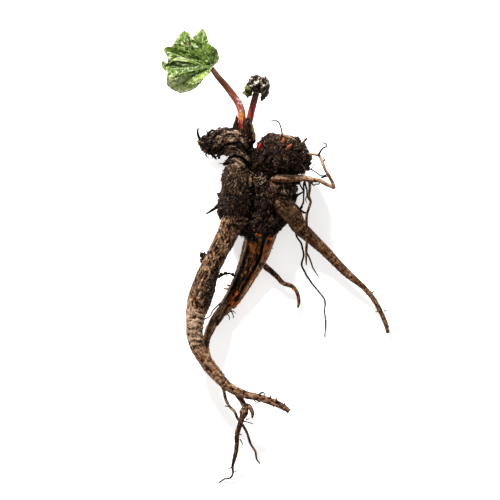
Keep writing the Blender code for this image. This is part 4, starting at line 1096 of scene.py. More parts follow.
def shell_relief(points):
    """Folded leaf bases of the knob and neck: overlapping shells with fibres along their edges."""
    crest = 0.6 * ridged(points / (7.0, 2.6, 3.5), 1.0, 2.0) + 0.5 * ridged(points, 3.2, 6.0)
    crest += 0.5 * wave(points, 7.0, 4.0)
    height = 1.3 * crest
    wrap = points[:, [1, 2, 0]].copy()
    for (x, y), reach in FOLD_SHELLS:
        across, over = points[:, 0] - x, points[:, 1] - y
        radius = np.hypot(across, over) + 1.0 * wave(points, 8.0, 1.0)
        angle = np.arctan2(over, across)
        inside = ramp_up(radius, reach, reach - 0.8)
        round_it = np.stack((radius, points[:, 2] * 0.3, angle * reach), axis=1)
        fibres = 0.6 * ridged(round_it / (1.9, 5.0, 20.0), 1.0, reach)
        fibres += 0.5 * ridged(round_it / (1.1, 3.0, 9.0), 1.0, reach + 4)
        cross = 0.22 * ridged(points, 2.6, 9.0 + reach)
        lip = 1.8 * np.clip(radius / reach, 0, 1) ** 5
        # The gap outside each shell's lip is darkened with painted shade
        gap = bell(radius - reach - 0.7, 0.9)
        crest = crest * (1 - inside) + inside * (fibres + cross) - 2.2 * gap
        height = height * (1 - inside) + inside * (lip + 0.9 * fibres + cross - 0.3) - 1.6 * gap
        wrap = np.where(inside[:, None] > 0.5, round_it, wrap)
    return height, wrap, crest


def oval_relief(points):
    """The oval leaf base: a net of crossing strands, with two ring folds at its lower end."""
    wrap = beside(points, RHIZOME)
    x, y = points[:, 0], points[:, 1]
    warped = points + 1.1 * swirl(points, 5.0, 1.0, 4.0, 8.0)
    strands = []
    for lean, shift in ((0.55, 2.0), (-0.75, 9.0)):
        along, across = warped[:, 1] + lean * warped[:, 0], warped[:, 0] - lean * warped[:, 1]
        places = np.stack((across / 2.6, along / 9.0, warped[:, 2] / 4.0), axis=1)
        strands.append(ridged(places, 1.0, shift))
    net = np.maximum(*strands)
    fine = ridged(stretched(wrap, 1.5, 3.0), 1.0, 3.0)
    ring = bell(y - 37.0 - 0.12 * (x + 40), 2.0)
    ring -= 0.9 * bell(y - 33.5 - 0.12 * (x + 40), 1.6)
    ridge = bell(x + 25.5 - 0.0022 * (y - 75) ** 2, 1.5) * ramp_up(y, 68, 76) * ramp_up(y, 98, 92)
    swell = waves(points, 11.0, 2, 6.0)
    height = 0.9 * net + 0.35 * fine + 1.3 * ring + 1.6 * ridge + 0.7 * swell - 0.4
    return height, wrap, net + 0.35 * fine + 0.5 * ring + 0.8 * ridge + 0.25 * swell


def sheath_relief(points):
    """The torn sheath round the foot of the leaf stalks: coarse fibres that run up it."""
    wrap = beside(points, RHIZOME)
    broad = ridged(stretched(wrap, 2.6, 13.0), 1.0, 5.0)
    fine = ridged(stretched(wrap, 1.3, 7.0), 1.0, 8.0)
    height = 1.3 * broad + 0.8 * fine + 0.6 * waves(points, 5.0, 2, 1.0) - 0.6
    return height, wrap, broad + 0.7 * fine


def trench(points, route, width, depth):
    """A narrow gap pressed in along a route, seen from above."""
    samples = smooth_route([(*point, 1.0) for point in route], 1.0)[:, :2]
    away = np.min([np.hypot(points[:, 0] - x, points[:, 1] - y) for x, y in samples], axis=0)
    return -depth * bell(away, width)


def make_crown(materials):
    """The crown's skin, with a relief of its own for each of its zones; gives back its mesh."""
    shapes = [tube(RHIZOME, sides=64, step=1.5), tube(LEFT_KNOB, sides=56, step=1.5)]
    shapes += [ball(centre, radii) for centre, radii in CROWN_LUMPS + CROWN_FILLS]
    shapes += [ball(centre, radii, turn) for centre, radii, turn in LEAF_BASES]
    mesh = remeshed(new_mesh("crown", gathered(shapes)), CROWN_FINE_VOXEL, smoothing=6)
    points = mesh_points(mesh)
    x, y, z = points.T
    knob, neck, oval = crown_zones(points)
    folded = np.clip(knob + neck, 0, 1)
    sheath = (1 - folded) * (1 - oval) * ramp_up(y + 0.8 * x, 72, 80) * ramp_up(-x, 12, 16)
    soil = np.clip(1 - folded - oval - sheath, 0, 1)

    shells, shell_wrap, shell_crest = shell_relief(points)
    strands, oval_wrap, oval_crest = oval_relief(points)
    fibrous, sheath_wrap, sheath_crest = sheath_relief(points)
    ground = soil_height(points) + 1.7 * ridged(points, 7.0, 5.0) + 1.4 * wave(points, 11.0, 9.0)
    ground += 1.5 * ridged(points / (1, 1, 1.5), 3.4, 12.0)
    gaps = sum(trench(points, route, width, depth) for route, width, depth in CROWN_GAPS)
    ragged = knob * ramp_up(waves(points, 4.0, 2, 2.0), 0.1, 0.6) * 1.6
    height = folded * shells + oval * strands + sheath * fibrous + soil * ground + gaps + ragged
    raise_skin(mesh, height * ramp_up(z, 0.5, 6.0))

    wrap = points
    for zone, zone_wrap in ((folded, shell_wrap), (oval, oval_wrap), (sheath, sheath_wrap)):
        wrap = np.where(zone[:, None] > 0.5, zone_wrap, wrap)
    lower = ramp_up(y, 66, 50)
    crest = folded * (0.8 * spread(shell_crest) - 0.1 - 0.15 * ramp_up(-x, 54, 62))
    crest += neck * (0.14 + 0.24 * ramp_up(y, 112, 106))
    crest += oval * (0.85 * spread(oval_crest) - 0.25 - 0.2 * lower)
    crest += sheath * (0.9 * spread(sheath_crest) - 0.4)
    crest += soil * (spread(ground) - 0.15 + 0.35 * waves(points, 9.0, 2, 21.0))
    crest -= soil * (0.3 * ramp_up(y, 88, 104) + 0.2 * ramp_up(y, 66, 52))
    patchy = ramp_up(waves(points, 9.0, 3, 3.0), -0.5, 0.5)
    dirt = soil * 0.95 + sheath * (0.3 + 0.3 * patchy) + oval * (0.1 + 0.25 * patchy)
    dirt += knob * (0.2 + 0.3 * patchy) + 0.5 * ramp_up(z, 26, 12) - 0.3 * gaps
    # Pale bark shows only on the crests, so it is also a painted highlight there
    pale = (neck * 0.7 + knob * 0.15 + oval * 0.25 * (1 - lower)) * ramp_up(crest, 0.1, 0.8)
    # Gaps are darkened with painted shade through the crest mark, and take soil by the dirt mark
    add_piece(
        "crown", mesh, materials.crown, "root_bark", ("rootstock",), wrap=wrap,
        crest=np.clip(crest + 0.3 * gaps, -1, 1), soil=np.clip(dirt, 0, 1), pale=pale,
        orange=orange_mark(points),
    )
    return mesh


def root_relief(made, ridge, ring, twist, shift, wide, run, weave=0.0):
    """Wound strands wide across and run long, a net of them by weave, rings and scurf."""
    angle = made.angle + twist * made.along
    wrap = wound(made.radius, angle, made.along)
    wrap = wrap + swirl(wrap, 8.0, shift, shift + 20, shift + 40) * (1.1, 1.1, 3.0)
    strands = np.abs(wave(stretched(wrap, wide, run), 1.0, shift))
    lengthwise = 0.9 * np.sqrt(strands + 0.02) - 0.45 - 0.8 * bell(strands, 0.055)
    lengthwise += 0.65 * ridged(stretched(wrap, 0.5 * wide, 0.4 * run), 1.0, shift + 3)
    if np.any(weave):
        nets = []
        for wind, place in WEAVE_WINDS:
            net = wound(made.radius, angle + wind * made.along, made.along)
            net = net + 0.9 * wave(made.wrap, 5.0, place)[:, None]
            nets.append(ridged(stretched(net, 3.3, 20.0), 1.0, shift + place))
        lengthwise = (1 - weave) * lengthwise + weave * (1.1 * np.maximum(*nets) - 0.5)
    ringed = made.wrap + (0, 0, 1) * wave(made.wrap, 7.0, shift + 2)[:, None]
    wrinkle = wave(stretched(ringed, 16.0, 2.9), 1.0, shift + 6)
    rings = 0.7 - 2.0 * np.abs(wrinkle) - 0.7 * bell(wrinkle - 0.25, 0.09)
    rings += 0.4 * ridged(stretched(ringed, 7.0, 1.7), 1.0, shift + 8)
    scurf = waves(made.wrap, 2.4, 2, shift)
    made.crest = spread((ridge * lengthwise + ring * rings) / (ridge + ring) + 0.3 * scurf)
    return ridge * lengthwise + ring * rings + 0.22 * scurf


def make_left_root(materials):
    """The left storage root: a net of strands above, rings lower down and a smooth thin end."""
    def relief(made):
        y, right = made.centre[:, 1], made.outward[:, 0]
        upper = ramp_up(y, -56, -46)
        made.end = ramp_up(y, -84, -95)
        made.earthy = ramp_up(right + 0.2 * wave(made.wrap, 9.0, 4.0), -0.05, 0.35)
        made.earthy *= ramp_up(y, -62, -46) * ramp_up(y, 2, -14)
        made.ringed = ramp_up(y + 7 * right + 3 * wave(made.wrap, 6.0, 7.0), -48, -55)
        made.ringed *= 1 - made.end
        height = root_relief(
            made, ridge=0.15 + 1.6 * upper * (1 - 0.6 * made.earthy) + 0.25 * made.end,
            ring=0.2 + 0.75 * made.ringed + 0.15 * made.end,
            twist=0.045, shift=2.0, wide=4.4, run=19.0, weave=0.7 * upper,
        )
        return height + 0.5 * made.earthy * soil_height(made.points)

    root = tube(LEFT_ROOT, sides=100, step=1.0, relief=relief)
    y, right = root.centre[:, 1], root.outward[:, 0]
    patches = ramp_up(waves(root.wrap, 9.0, 3, 5.0), -0.1, 0.6)
    soil = 0.95 * root.earthy + 0.45 * patches * ramp_up(y, -60, -40) + 0.25 * ramp_up(y, 10, 45)
    soil += 0.5 * ramp_up(-root.outward[:, 2], 0.0, 0.8)
    pale = 0.5 * root.ringed + 0.25 * root.end
    pale += 0.4 * ramp_up(waves(root.wrap, 6.0, 2, 8.0), 0.0, 0.5)
    crest = root.crest * (0.9 - 0.25 * root.ringed - 0.35 * root.end) + 0.36 * root.ringed
    crest += (0.2 - 0.3 * ramp_up(y, -128, -142)) * root.end
    # Painted shade on the right side of the ringed part and the thin end, away from the lamp
    crest -= 0.3 * ramp_up(right, 0.3, 0.9) * (root.ringed + root.end)
    add_shape(
        "left_root", root, materials.left_root, "root_bark", ("rootstock",), wrap=root.wrap,
        crest=crest, soil=np.clip(soil, 0, 1), pale=np.clip(pale, 0, 1),
        orange=np.clip(orange_mark(root.points) + 0.06 * root.end, 0, 1),
    )


def make_middle_root(materials):
    """The middle storage root with its pale left edge, and the strand on its right."""
    def relief(made):
        height = root_relief(made, 1.1, 0.3, twist=0.004, shift=16.0, wide=5.0, run=55.0)
        return height + trench(made.points, MIDDLE_GROOVE, 1.3, 2.0)

    def strand_relief(made):
        return root_relief(made, 0.7, 0.25, twist=0.0, shift=22.0, wide=3.0, run=30.0)

    root = tube(MIDDLE_ROOT, sides=84, step=1.0, relief=relief)
    strand = tube(MIDDLE_STRAND, sides=56, step=1.0, relief=strand_relief)
    clod = ramp_up(waves(root.wrap / (1, 1, 1.5), 7.0, 2, 3.0), -0.15, 0.35)
    clod *= ramp_up(root.along, 22, 40)
    groove, beside_it = (-trench(part.points, MIDDLE_GROOVE, 1.5, 1.0) for part in (root, strand))
    collar = ramp_up(root.along, 32, 20) * ramp_up(-root.points[:, 0], 17, 21)
    end = ramp_up(root.along, 88, 112)
    edge = bell(root.outward[:, 0] + 0.78, 0.13) * ramp_up(root.outward[:, 2], -0.2, 0.3)
    beyond = bell(root.outward[:, 0] + 0.5, 0.14)
    bare_edge = edge * (1 - collar)
    root_crest = 0.8 * root.crest + (1.1 * bare_edge - 0.9 * beyond) * (1 - end)
    # Painted shade in the groove between root and strand, on both of them
    root_crest += 0.2 * end - 1.6 * groove - 0.6 * collar
    strand_crest = 0.75 * strand.crest + 0.45 - 2.0 * beside_it
    root_soil = 0.1 + 0.6 * clod * (1 - 0.7 * end) - 0.8 * bare_edge + collar
    strand_soil = 0.3 * ramp_up(waves(strand.wrap, 5.0, 2, 3.0), 0.15, 0.5)
    root_pale = 0.8 * bare_edge + 0.3 * end
    strand_pale = 0.45 + 0.5 * ramp_up(strand.outward[:, 0], 0.0, 0.9)
    root_orange = 1.3 * orange_mark(root.points) * (1 - edge) * (1 - groove)
    strand_orange = 0.3 * ramp_up(waves(strand.wrap, 6.0, 2, 9.0), 0.0, 0.5)
    strand_orange = np.clip(orange_mark(strand.points) + strand_orange, 0, 1) * (1 - beside_it)
    both = gathered(
        [root, strand], wrap=(root.wrap, strand.wrap),
        crest=(np.clip(root_crest, -1, 1), np.clip(strand_crest, -1, 1)),
        soil=(np.clip(root_soil, 0, 1), strand_soil),
        pale=(np.clip(root_pale, 0, 1), strand_pale),
        orange=(np.clip(root_orange, 0, 1), strand_orange),
    )
    add_shape(
        "middle_root", both, materials.middle_root, "root_bark", ("rootstock",), **both.marks)


def make_right_root(materials):
    """The right storage root, rougher where it leaves the crown."""
    def relief(made):
        ridge = 0.22 + 0.3 * ramp_up(made.along, 55, 25)
        return root_relief(made, ridge, 0.32, twist=0.0, shift=31.0, wide=3.4, run=24.0)

    root = tube(RIGHT_ROOT, sides=76, step=0.9, relief=relief)
    start = ramp_up(root.along, 60, 20)
    soil = 0.15 * start + 0.3 * ramp_up(-root.outward[:, 2], 0.0, 0.7)
    soil += 0.12 * ramp_up(waves(root.wrap, 6.0, 2, 3.0), 0.2, 0.7)
    # Paler on its ridges and, near the crown, where it faces up: a painted highlight
    pale = 0.2 * ramp_up(root.crest, -0.2, 0.8)
    pale += 0.15 * start * ramp_up(root.outward[:, 2], 0.3, 1.0)
    add_shape(
        "right_root", root, materials.right_root, "root_bark", ("rootstock",), wrap=root.wrap,
        crest=0.46 * root.crest + 0.12, soil=np.clip(soil, 0, 1), pale=pale,
        orange=orange_mark(root.points),
    )


def fine_relief(made):
    """Wrinkles and knots of a fine root, each with a pattern of its own."""
    shift = float(abs(made.centre[0]).sum() % 50)
    knots = 0.1 * made.radius * waves(made.wrap, 5.0, 2, shift)
    wrinkles = root_relief(made, 1.6, 0.6, twist=0.02, shift=shift, wide=1.2, run=9.0)
    return 0.1 * made.radius ** 0.5 * wrinkles + knots


def spur_route(foot, direction, length, radius):
    """A short route out of a root, from a little below its surface."""
    heading = unit(np.array(direction, float))
    start = np.array(foot, float) - SPUR_DEPTH * heading
    middle = start + 0.55 * (length + SPUR_DEPTH) * heading + (0.2, -0.15, 0.1)
    tip = np.array(foot, float) + length * heading
    return [(*start, radius), (*middle, 0.85 * radius), (*tip, 0.6 * radius)]


def make_fine_roots(materials):
    """Side roots and fibrous roots, a piece for each bark."""
    for name, members in FINE_GROUPS.items():
        shapes = []
        for route in (FINE_ROOTS[member] for member in members):
            thick = max(point[3] for point in route) > THICK_FINE_RADIUS
            shapes.append(tube(route, 28 if thick else 14, step=0.6, relief=fine_relief))
        if name == "wires":
            shapes += [tube(route, sides=8, step=0.6, relief=fine_relief) for route in EXTRA_WIRES]
        if name == "brown_roots":
            routes = [spur_route(*spur) for spur in SPURS]
            shapes += [tube(route, sides=12, step=0.4, relief=fine_relief) for route in routes]
        tan = name == "tan_roots"
        contrast, level, earth = (0.5, 0.35, 0.2) if tan else (0.8, 0.1, 0.5)
        marks = {"wrap": [], "crest": [], "orange": [], "pale": [], "soil": []}
        for shape in shapes:
            marks["wrap"].append(shape.wrap)
            marks["crest"].append(shape.crest * contrast + level)
            marks["orange"].append(orange_mark(shape.points))
            # Painted highlight on the tan roots' side towards the lamp, and the forked root's own
            # pale knot
            upper = ramp_up(shape.outward[:, 1], -0.3, 0.4) * tan
            marks["pale"].append(upper + 0.6 * bell(shape.points[:, 1] - PALE_KNOT_Y, 8))
            marks["soil"].append(earth * ramp_up(waves(shape.points, 4.0, 2, 2.0), 0.1, 0.6))
        whole = gathered(shapes, **marks)
        add_shape(
            name, whole, getattr(materials, name), "root_bark", ("rootstock",), **whole.marks)


def crawl(tree, start, heading, steps, lift):
    """A route that creeps over the crown from a point, rising and falling a little."""
    place, route = np.array(start, float), []
    turn = rng.normal(0, 0.06)
    for step in range(steps):
        found, normal, _, _ = tree.find_nearest(place)
        normal = np.array(normal)
        share = step / (steps - 1)
        rise = lift * math.sin(math.pi * share) * (0.6 + 0.4 * math.sin(5.0 * share))
        route.append(np.array(found) + normal * (0.1 + rise))
        heading = heading - normal * np.dot(heading, normal)
        side = np.cross(normal, heading)
        turn = 0.7 * turn + rng.normal(0, 0.1)
        heading = unit(heading + side * turn)
        place = np.array(found) + heading * FIBRE_STRIDE
    return route


def chosen(points, chance, count):
    """Points drawn at random, by how likely each one is."""
    return points[rng.choice(len(points), count, p=chance / chance.sum())]


def make_fibres(tree, crown_points, materials):
    """Dried rootlets that creep over the crown and stick out of it."""
    knob, neck, oval = crown_zones(crown_points)
    chance = np.clip(1 - knob - neck - 0.95 * oval, 0.03, 1) * ramp_up(crown_points[:, 2], 12, 28)
    shapes, tones = [], []
    for start in chosen(crown_points, chance, FIBRE_COUNT):
        length = rng.uniform(*FIBRE_LENGTHS)
        lift = rng.choice(FIBRE_LIFTS, p=FIBRE_LIFT_ODDS)
        steps = max(6, round(length / FIBRE_STRIDE))
        route = crawl(tree, start, unit(rng.normal(size=3)), steps, lift)
        radii = rng.uniform(*FIBRE_RADII) * np.linspace(1.0, 0.45, steps)
        rod = [(*point, radius) for point, radius in zip(route, radii)]
        shapes.append(tube(rod, sides=5, step=FIBRE_STRIDE))
        tone = rng.choice(FIBRE_TONES, p=FIBRE_TONE_ODDS)
        tone -= 0.3 * max(ramp_up(start[1], 88, 104), ramp_up(start[1], 66, 52))
        tones.append(np.full(len(shapes[-1].points), tone + rng.uniform(-0.08, 0.05)))
    whole = gathered(shapes, tone=tones)
    add_shape("crown_fibres", whole, materials.fibre, "root_bark", **whole.marks)


def make_shreds(tree, crown_points, materials):
    """Torn ends of old leaf bases that stand out of the side knob and the neck."""
    knob, neck, _ = crown_zones(crown_points)
    edge = np.abs(crown_points[:, 1] - 113) / 12
    chance = (knob * (0.2 + edge ** 2) + 0.1 * neck) * ramp_up(crown_points[:, 2], 30, 42)
    shapes, tones = [], []
    for foot in chosen(crown_points, chance, SHRED_COUNT):
        _, normal, _, _ = tree.find_nearest(foot)
        away = np.array((-0.8, 0.3 * np.sign(foot[1] - 112), 0.0))
        away = unit(away + 0.5 * np.array(normal) * (1, 1, 0.4) + rng.normal(0, 0.5, 3))
        length, radius = rng.uniform(*SHRED_LENGTHS), rng.uniform(*SHRED_RADII)
        bend = rng.normal(0, 0.3, 3) * length
        route = [
            (*(foot - 1.2 * away), radius), (*(foot + 0.35 * length * away), 0.8 * radius),
            (*(foot + 0.75 * length * away + 0.5 * bend), 0.45 * radius),
            (*(foot + length * away + bend), 0.12),
        ]
        shapes.append(tube(
            route, 7, 0.5, lambda made: 0.25 * made.radius * waves(made.wrap, 1.2, 1, 3.0)))
        tones.append(np.full(len(shapes[-1].points), rng.uniform(0.0, 0.7)))
    whole = gathered(shapes, tone=tones)
    add_shape("leaf_base_shreds", whole, materials.fibre, "root_bark", **whole.marks)


def make_crumbs(centres, materials):
    """Crumbs of soil stuck to the crown."""
    shapes, crests = [], []
    plain = {level: ball((0, 0, 0), (1, 1, 1), subdivisions=level) for level in (1, 2, 3)}
    for centre in centres:
        radius = min(CRUMB_SMALLEST + rng.exponential(CRUMB_SPREAD), CRUMB_LARGEST)
        form = plain[3 if radius > 1.3 else 2 if radius > 0.6 else 1]
        shift = rng.uniform(0, 40)
        swell = 1 + 0.3 * wave(form.points, 0.8, shift) + 0.15 * wave(form.points, 0.35, shift)
        squeeze = rng.uniform(0.7, 1.25, 3)
        points = form.points * swell[:, None] * squeeze * radius + centre
        shapes.append(SimpleNamespace(points=points, faces=form.faces))
        crests.append(np.clip(6 * (swell - 1) + rng.normal(0, 0.3), -1, 1))
    whole = gathered(shapes, crest=crests)
    add_shape("soil_crumbs", whole, materials.soil, "soil", **whole.marks)


def make_soil(materials):
    """The caked soil between and on the lobes; gives back its meshes."""
    found = []
    for node in SOIL_NODES:
        mesh = remeshed(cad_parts[node].data.copy(), SOIL_FINE_VOXEL, smoothing=3)
        points = mesh_points(mesh)
        height = soil_height(points)
        raise_skin(mesh, height - 0.2)
        add_piece(
            node + "_grains", mesh, materials.soil, "soil", (node,),
            crest=np.clip(0.5 * height, -1, 1), orange=orange_mark(points) * 0.8,
        )
        found.append(mesh)
    return found


def make_stalk(name, node, route, material, marks_for):
    """A ribbed leaf stalk with a channel along its top."""
    def relief(made):
        channel = -0.11 * made.radius * bell(made.angle - math.pi / 2, 0.5)
        ribs = 0.16 * np.cos(11 * made.angle + 0.8 * wave(made.wrap, 9.0))
        ribs += 0.06 * np.cos(29 * made.angle)
        ribs *= 0.5 + 0.5 * ramp_up(made.radius, 1.5, 3.0)
        return channel + ribs + 0.06 * waves(made.wrap, 5.0, 2)

    stalk = tube(route, sides=64, step=0.7, relief=relief)
    share = stalk.along / stalk.along.max()
    add_shape(
        name, stalk, material, "stalk_red", (node,), wrap=stalk.wrap, share=share,
        **marks_for(stalk))


def make_stalks(materials):
    """The two leaf stalks, with yellow flecks, painted shade on their sides and painted glints."""
    def open_marks(stalk):
        x, y = stalk.points[:, 0], stalk.points[:, 1]
        flecks = ramp_up(waves(stalk.points, 2.2, 2, 3.0), -0.25, 0.15)
        yellow = flecks * spot(x, y, (-34.6, 140), (1.8, 3.6))
        glint = sum(spot(x, y, centre, (0.7, 0.9)) for centre in STALK_GLINTS)
        dark = 0.8 * ramp_up(stalk.outward[:, 2], 0.75, 0.3) * ramp_up(stalk.along, 20, 45)
        return {"yellow": yellow, "shade": dark, "glint": np.clip(glint, 0, 1)}

    def young_marks(stalk):
        x, y = stalk.points[:, 0], stalk.points[:, 1]
        yellow = spot(x, y, (-27.4, 152.5), (1.1, 2.2))
        dark = 0.75 * ramp_up(stalk.outward[:, 2], 0.8, 0.3)
        return {"yellow": yellow, "shade": dark, "glint": 0 * x}

    skin = materials.open_stalk
    make_stalk("first_leaf_stalk", "open_leaf_stalk", OPEN_STALK, skin, open_marks)
    skin = materials.young_stalk
    make_stalk("second_leaf_stalk", "young_leaf_stalk", YOUNG_STALK, skin, young_marks)


def make_buds(materials):
    """Papery scales and small buds, ridged along their length."""
    for name, route in BUD_PIECES.items():
        papery = "scale" in name

        def relief(made):
            made.crest = ridged(stretched(made.wrap, 1.3, 7.0), 1.0, len(name))
            height = (0.7 if papery else 0.12) * made.crest * ramp_up(made.radius, 0.2, 1.4)
            if papery:
                height += 0.5 * waves(made.wrap / (1, 1, 2), 2.4, 2, 3.0)
            return height

        if papery:
            slot, skin = "bud_scale", "scale_ochre" if "ochre" in name else "scale_dark"
        else:
            slot, skin = "bud_red", "rusty_bud" if "knob" in name else "bud"
        bud = tube(route, sides=40, step=0.35, relief=relief)
        add_shape(
            name + "_fine", bud, getattr(materials, skin), slot, (name,), wrap=bud.wrap,
            crest=np.clip(bud.crest, -1, 1),
        )


def resampled_loop(points, step):
    """Even steps round a closed outline."""
    loop = np.array(points + points[:1], float)
    samples = []
    for start, end in zip(loop, loop[1:]):
        count = max(1, round(np.linalg.norm(end - start) / step))
        samples += [start + (end - start) * k / count for k in range(count)]
    return np.array(samples)


def on_plane(flat):
    """Flat points as places at height 0."""
    return np.column_stack((flat, np.zeros(len(flat))))


def rounded_outline(points, step):
    """An outline through the given points with its corners eased and a fine wave along it."""
    loop = resampled_loop(points, step)
    for _ in range(6):
        loop = 0.5 * loop + 0.25 * (np.roll(loop, 1, axis=0) + np.roll(loop, -1, axis=0))
    out = np.roll(loop, -1, axis=0) - np.roll(loop, 1, axis=0)
    out = unit(np.stack((out[:, 1], -out[:, 0]), axis=1))
    places = on_plane(loop)
    return loop + out * (0.45 * wave(places, 2.6) + 0.2 * wave(places, 1.1, 4.0))[:, None]


def inside_loop(points, loop):
    """Whether each point is inside a closed outline, by counting the edges to its right."""
    found = np.zeros(len(points), bool)
    for (x0, y0), (x1, y1) in zip(loop, np.roll(loop, -1, axis=0)):
        if y0 == y1:
            continue
        crosses = (y0 > points[:, 1]) != (y1 > points[:, 1])
        crossing = x0 + (points[:, 1] - y0) * (x1 - x0) / (y1 - y0)
        found ^= crosses & (points[:, 0] < crossing)
    return found


def sheet_mesh(outline, step):
    """Points and even triangles inside an outline, and its eased loop, which comes first."""
    loop = rounded_outline(outline, step)
    low, high = loop.min(axis=0), loop.max(axis=0)
    rows = np.arange(low[1], high[1], step * math.sqrt(3) / 2)
    columns = np.arange(low[0], high[0], step)
    grid = np.array([(x + 0.5 * step * (k % 2), y) for k, y in enumerate(rows) for x in columns])
    grid = grid[inside_loop(grid, loop)]
    near = np.min([np.hypot(grid[:, 0] - x, grid[:, 1] - y) for x, y in loop], axis=0)
    points = [Vector(point) for point in np.concatenate((loop, grid[near > 0.6 * step]))]
    edges = [(k, (k + 1) % len(loop)) for k in range(len(loop))]
    flat, _, faces, *_ = delaunay_2d_cdt(points, edges, [], 1, 1e-6)
    return np.array([(point.x, point.y) for point in flat]), [list(face) for face in faces], loop


def line_distance(points, route):
    """How far flat points are from a line of straight runs."""
    nearest = np.full(len(points), 1e9)
    for start, end in zip(np.array(route[:-1], float), np.array(route[1:], float)):
        run = end - start
        share = np.clip(((points - start) @ run) / (run @ run), 0, 1)
        away = np.linalg.norm(points - start - share[:, None] * run, axis=1)
        nearest = np.minimum(nearest, away)
    return nearest


def leaf_veins():
    """The ribs from the leaf's foot, with side veins that leave them to the left and right in turn,
    each as a line and how strong it is."""
    veins = [(rib, 1.0) for rib in LEAF_MAIN_RIBS]
    for rib in LEAF_MAIN_RIBS:
        route = np.array(rib, float)
        reach = walked(route)
        starts = np.arange(VEIN_START, reach[-1] - 2, VEIN_SPACING)
        for number, distance in enumerate(starts):
            foot, ahead = (
                np.array([np.interp(place, reach, route[:, axis]) for axis in (0, 1)])
                for place in (distance, distance + 1)
            )
            side = 1 if number % 2 else -1
            heading = math.atan2(*(ahead - foot)[::-1]) + side * VEIN_LEAN
            half = 0.5 * VEIN_LENGTH * (1 - 0.5 * distance / reach[-1])
            middle = foot + half * np.array((math.cos(heading), math.sin(heading)))
            heading -= side * VEIN_BEND
            tip = middle + half * np.array((math.cos(heading), math.sin(heading)))
            veins.append(([tuple(foot), tuple(middle), tuple(tip)], SIDE_VEIN_WEIGHT))
    return veins


def leaf_stand(flat, wander):
    """How high the leaf stands without its fine relief, its left half, and the crests there."""
    x, y = flat[:, 0], flat[:, 1]
    out = np.hypot(x - LEAF_FOOT[0], y - LEAF_FOOT[1])
    rib = np.min([line_distance(flat, [LEAF_FOOT[:2], end]) for end in LEAF_RIBS], axis=0)
    quilt = QUILT_HEIGHT * (1 - bell(rib, QUILT_REACH)) * np.clip(out / QUILT_START, 0, 1)
    folded = 1 / (1 + np.exp((x - FOLD_EDGE_X) / FOLD_EDGE_SOFTNESS))
    crests = sum(
        np.exp(-np.abs((y + wander - line) / CREST_WIDTH) ** 1.2) for line in CREST_LINES)
    valley = bell(y + wander - VALLEY_LINE, VALLEY_WIDTH)
    fold = folded * (CREST_HEIGHT * crests - VALLEY_DEPTH * valley)
    droop = LOWER_DROOP * np.maximum(0, LOWER_MARGIN_Y - y) ** 2
    droop += LOBE_DROOP * np.maximum(0, y - LOBE_TIPS_Y) ** 2
    droop += RIGHT_DROOP * np.maximum(0, x - RIGHT_MARGIN_X) ** 2
    rise = LEAF_SLOPE * out - LEAF_BEND * out * out
    return LEAF_FOOT[2] + rise + quilt + fold - droop, folded, crests


def leaf_shape(flat):
    """Height of the open leaf at each point, its vein mark and its crest mark."""
    x, y = flat[:, 0], flat[:, 1]
    places = on_plane(flat)
    wander = 1.9 * wave(places, 12.0, 3.0) + 0.7 * wave(places, 5.0, 9.0) - 0.9
    stand, folded, crests = leaf_stand(flat, wander)
    zone = folded * np.exp(-((y + wander - 195) / 5.0) ** 4)
    stripes = ridged(np.stack((x / 16.0, (y + 1.3 * wander) / 1.9, 0 * x), axis=1), 1.0, 13.0)
    vein, sunk = np.zeros(len(flat)), np.zeros(len(flat))
    for route, weight in leaf_veins():
        away = line_distance(flat, route)
        width = SIDE_VEIN_WIDTH if weight == SIDE_VEIN_WEIGHT else RIB_WIDTH
        vein = np.maximum(vein, weight * bell(away, width))
        sunk = np.maximum(sunk, weight * bell(away, 1.6))
    across, over = x - LEAF_FOOT[0], y - LEAF_FOOT[1]
    turned, out = np.arctan2(over, across) * 34, np.hypot(across, over)
    rays = np.stack((turned / 3.4, out / 9.0, 0 * out), axis=1)
    pleats = ridged(rays + 0.5 * wave(places, 6.0, 8.0)[:, None], 1.0, 4.0)
    pucker = spot(x, y, (-100, 177), (10, 9)) + spot(x, y, (-88, 213), (9, 6))
    rough = waves(places, 4.2, 2, 2.0)
    crinkle = ridged(places + 0.8 * wave(places, 3.0, 1.0)[:, None], 3.6, 11.0)
    detail = 0.55 * pleats - 0.9 * sunk + (0.35 + 0.8 * pucker) * (rough + 0.6 * crinkle)
    detail += 0.7 * waves(places, 8.0, 2, 5.0) + 0.5 * zone * stripes
    # Painted highlight on pleats, crumples and fold crests; painted shade in the sunken veins
    crest = 0.45 * pleats - 0.7 * sunk + 0.5 * rough + 0.4 * crinkle * (0.6 + pucker) - 0.1
    crest += folded * 0.5 * crests ** 3 + zone * (0.8 * stripes - 0.05)
    lower = ramp_up(y, 186, 178)
    crest += lower * (0.55 * ridged(places, 2.0, 15.0) + 0.25 * wave(places, 1.3, 8.0))
    bent = flat + 0.4 * wander[:, None]
    # Painted highlight along the sharp folds, and painted shade in the lines beside them
    for routes, weight in ((LEAF_HIGHLIGHT_LINES, 3.0), (LEAF_SHADE_LINES, -2.2)):
        away = np.min([line_distance(bent, route) for route in routes], axis=0)
        crest += weight * bell(away, 0.75)
    return stand + detail, vein, np.clip(crest, -1, 1)


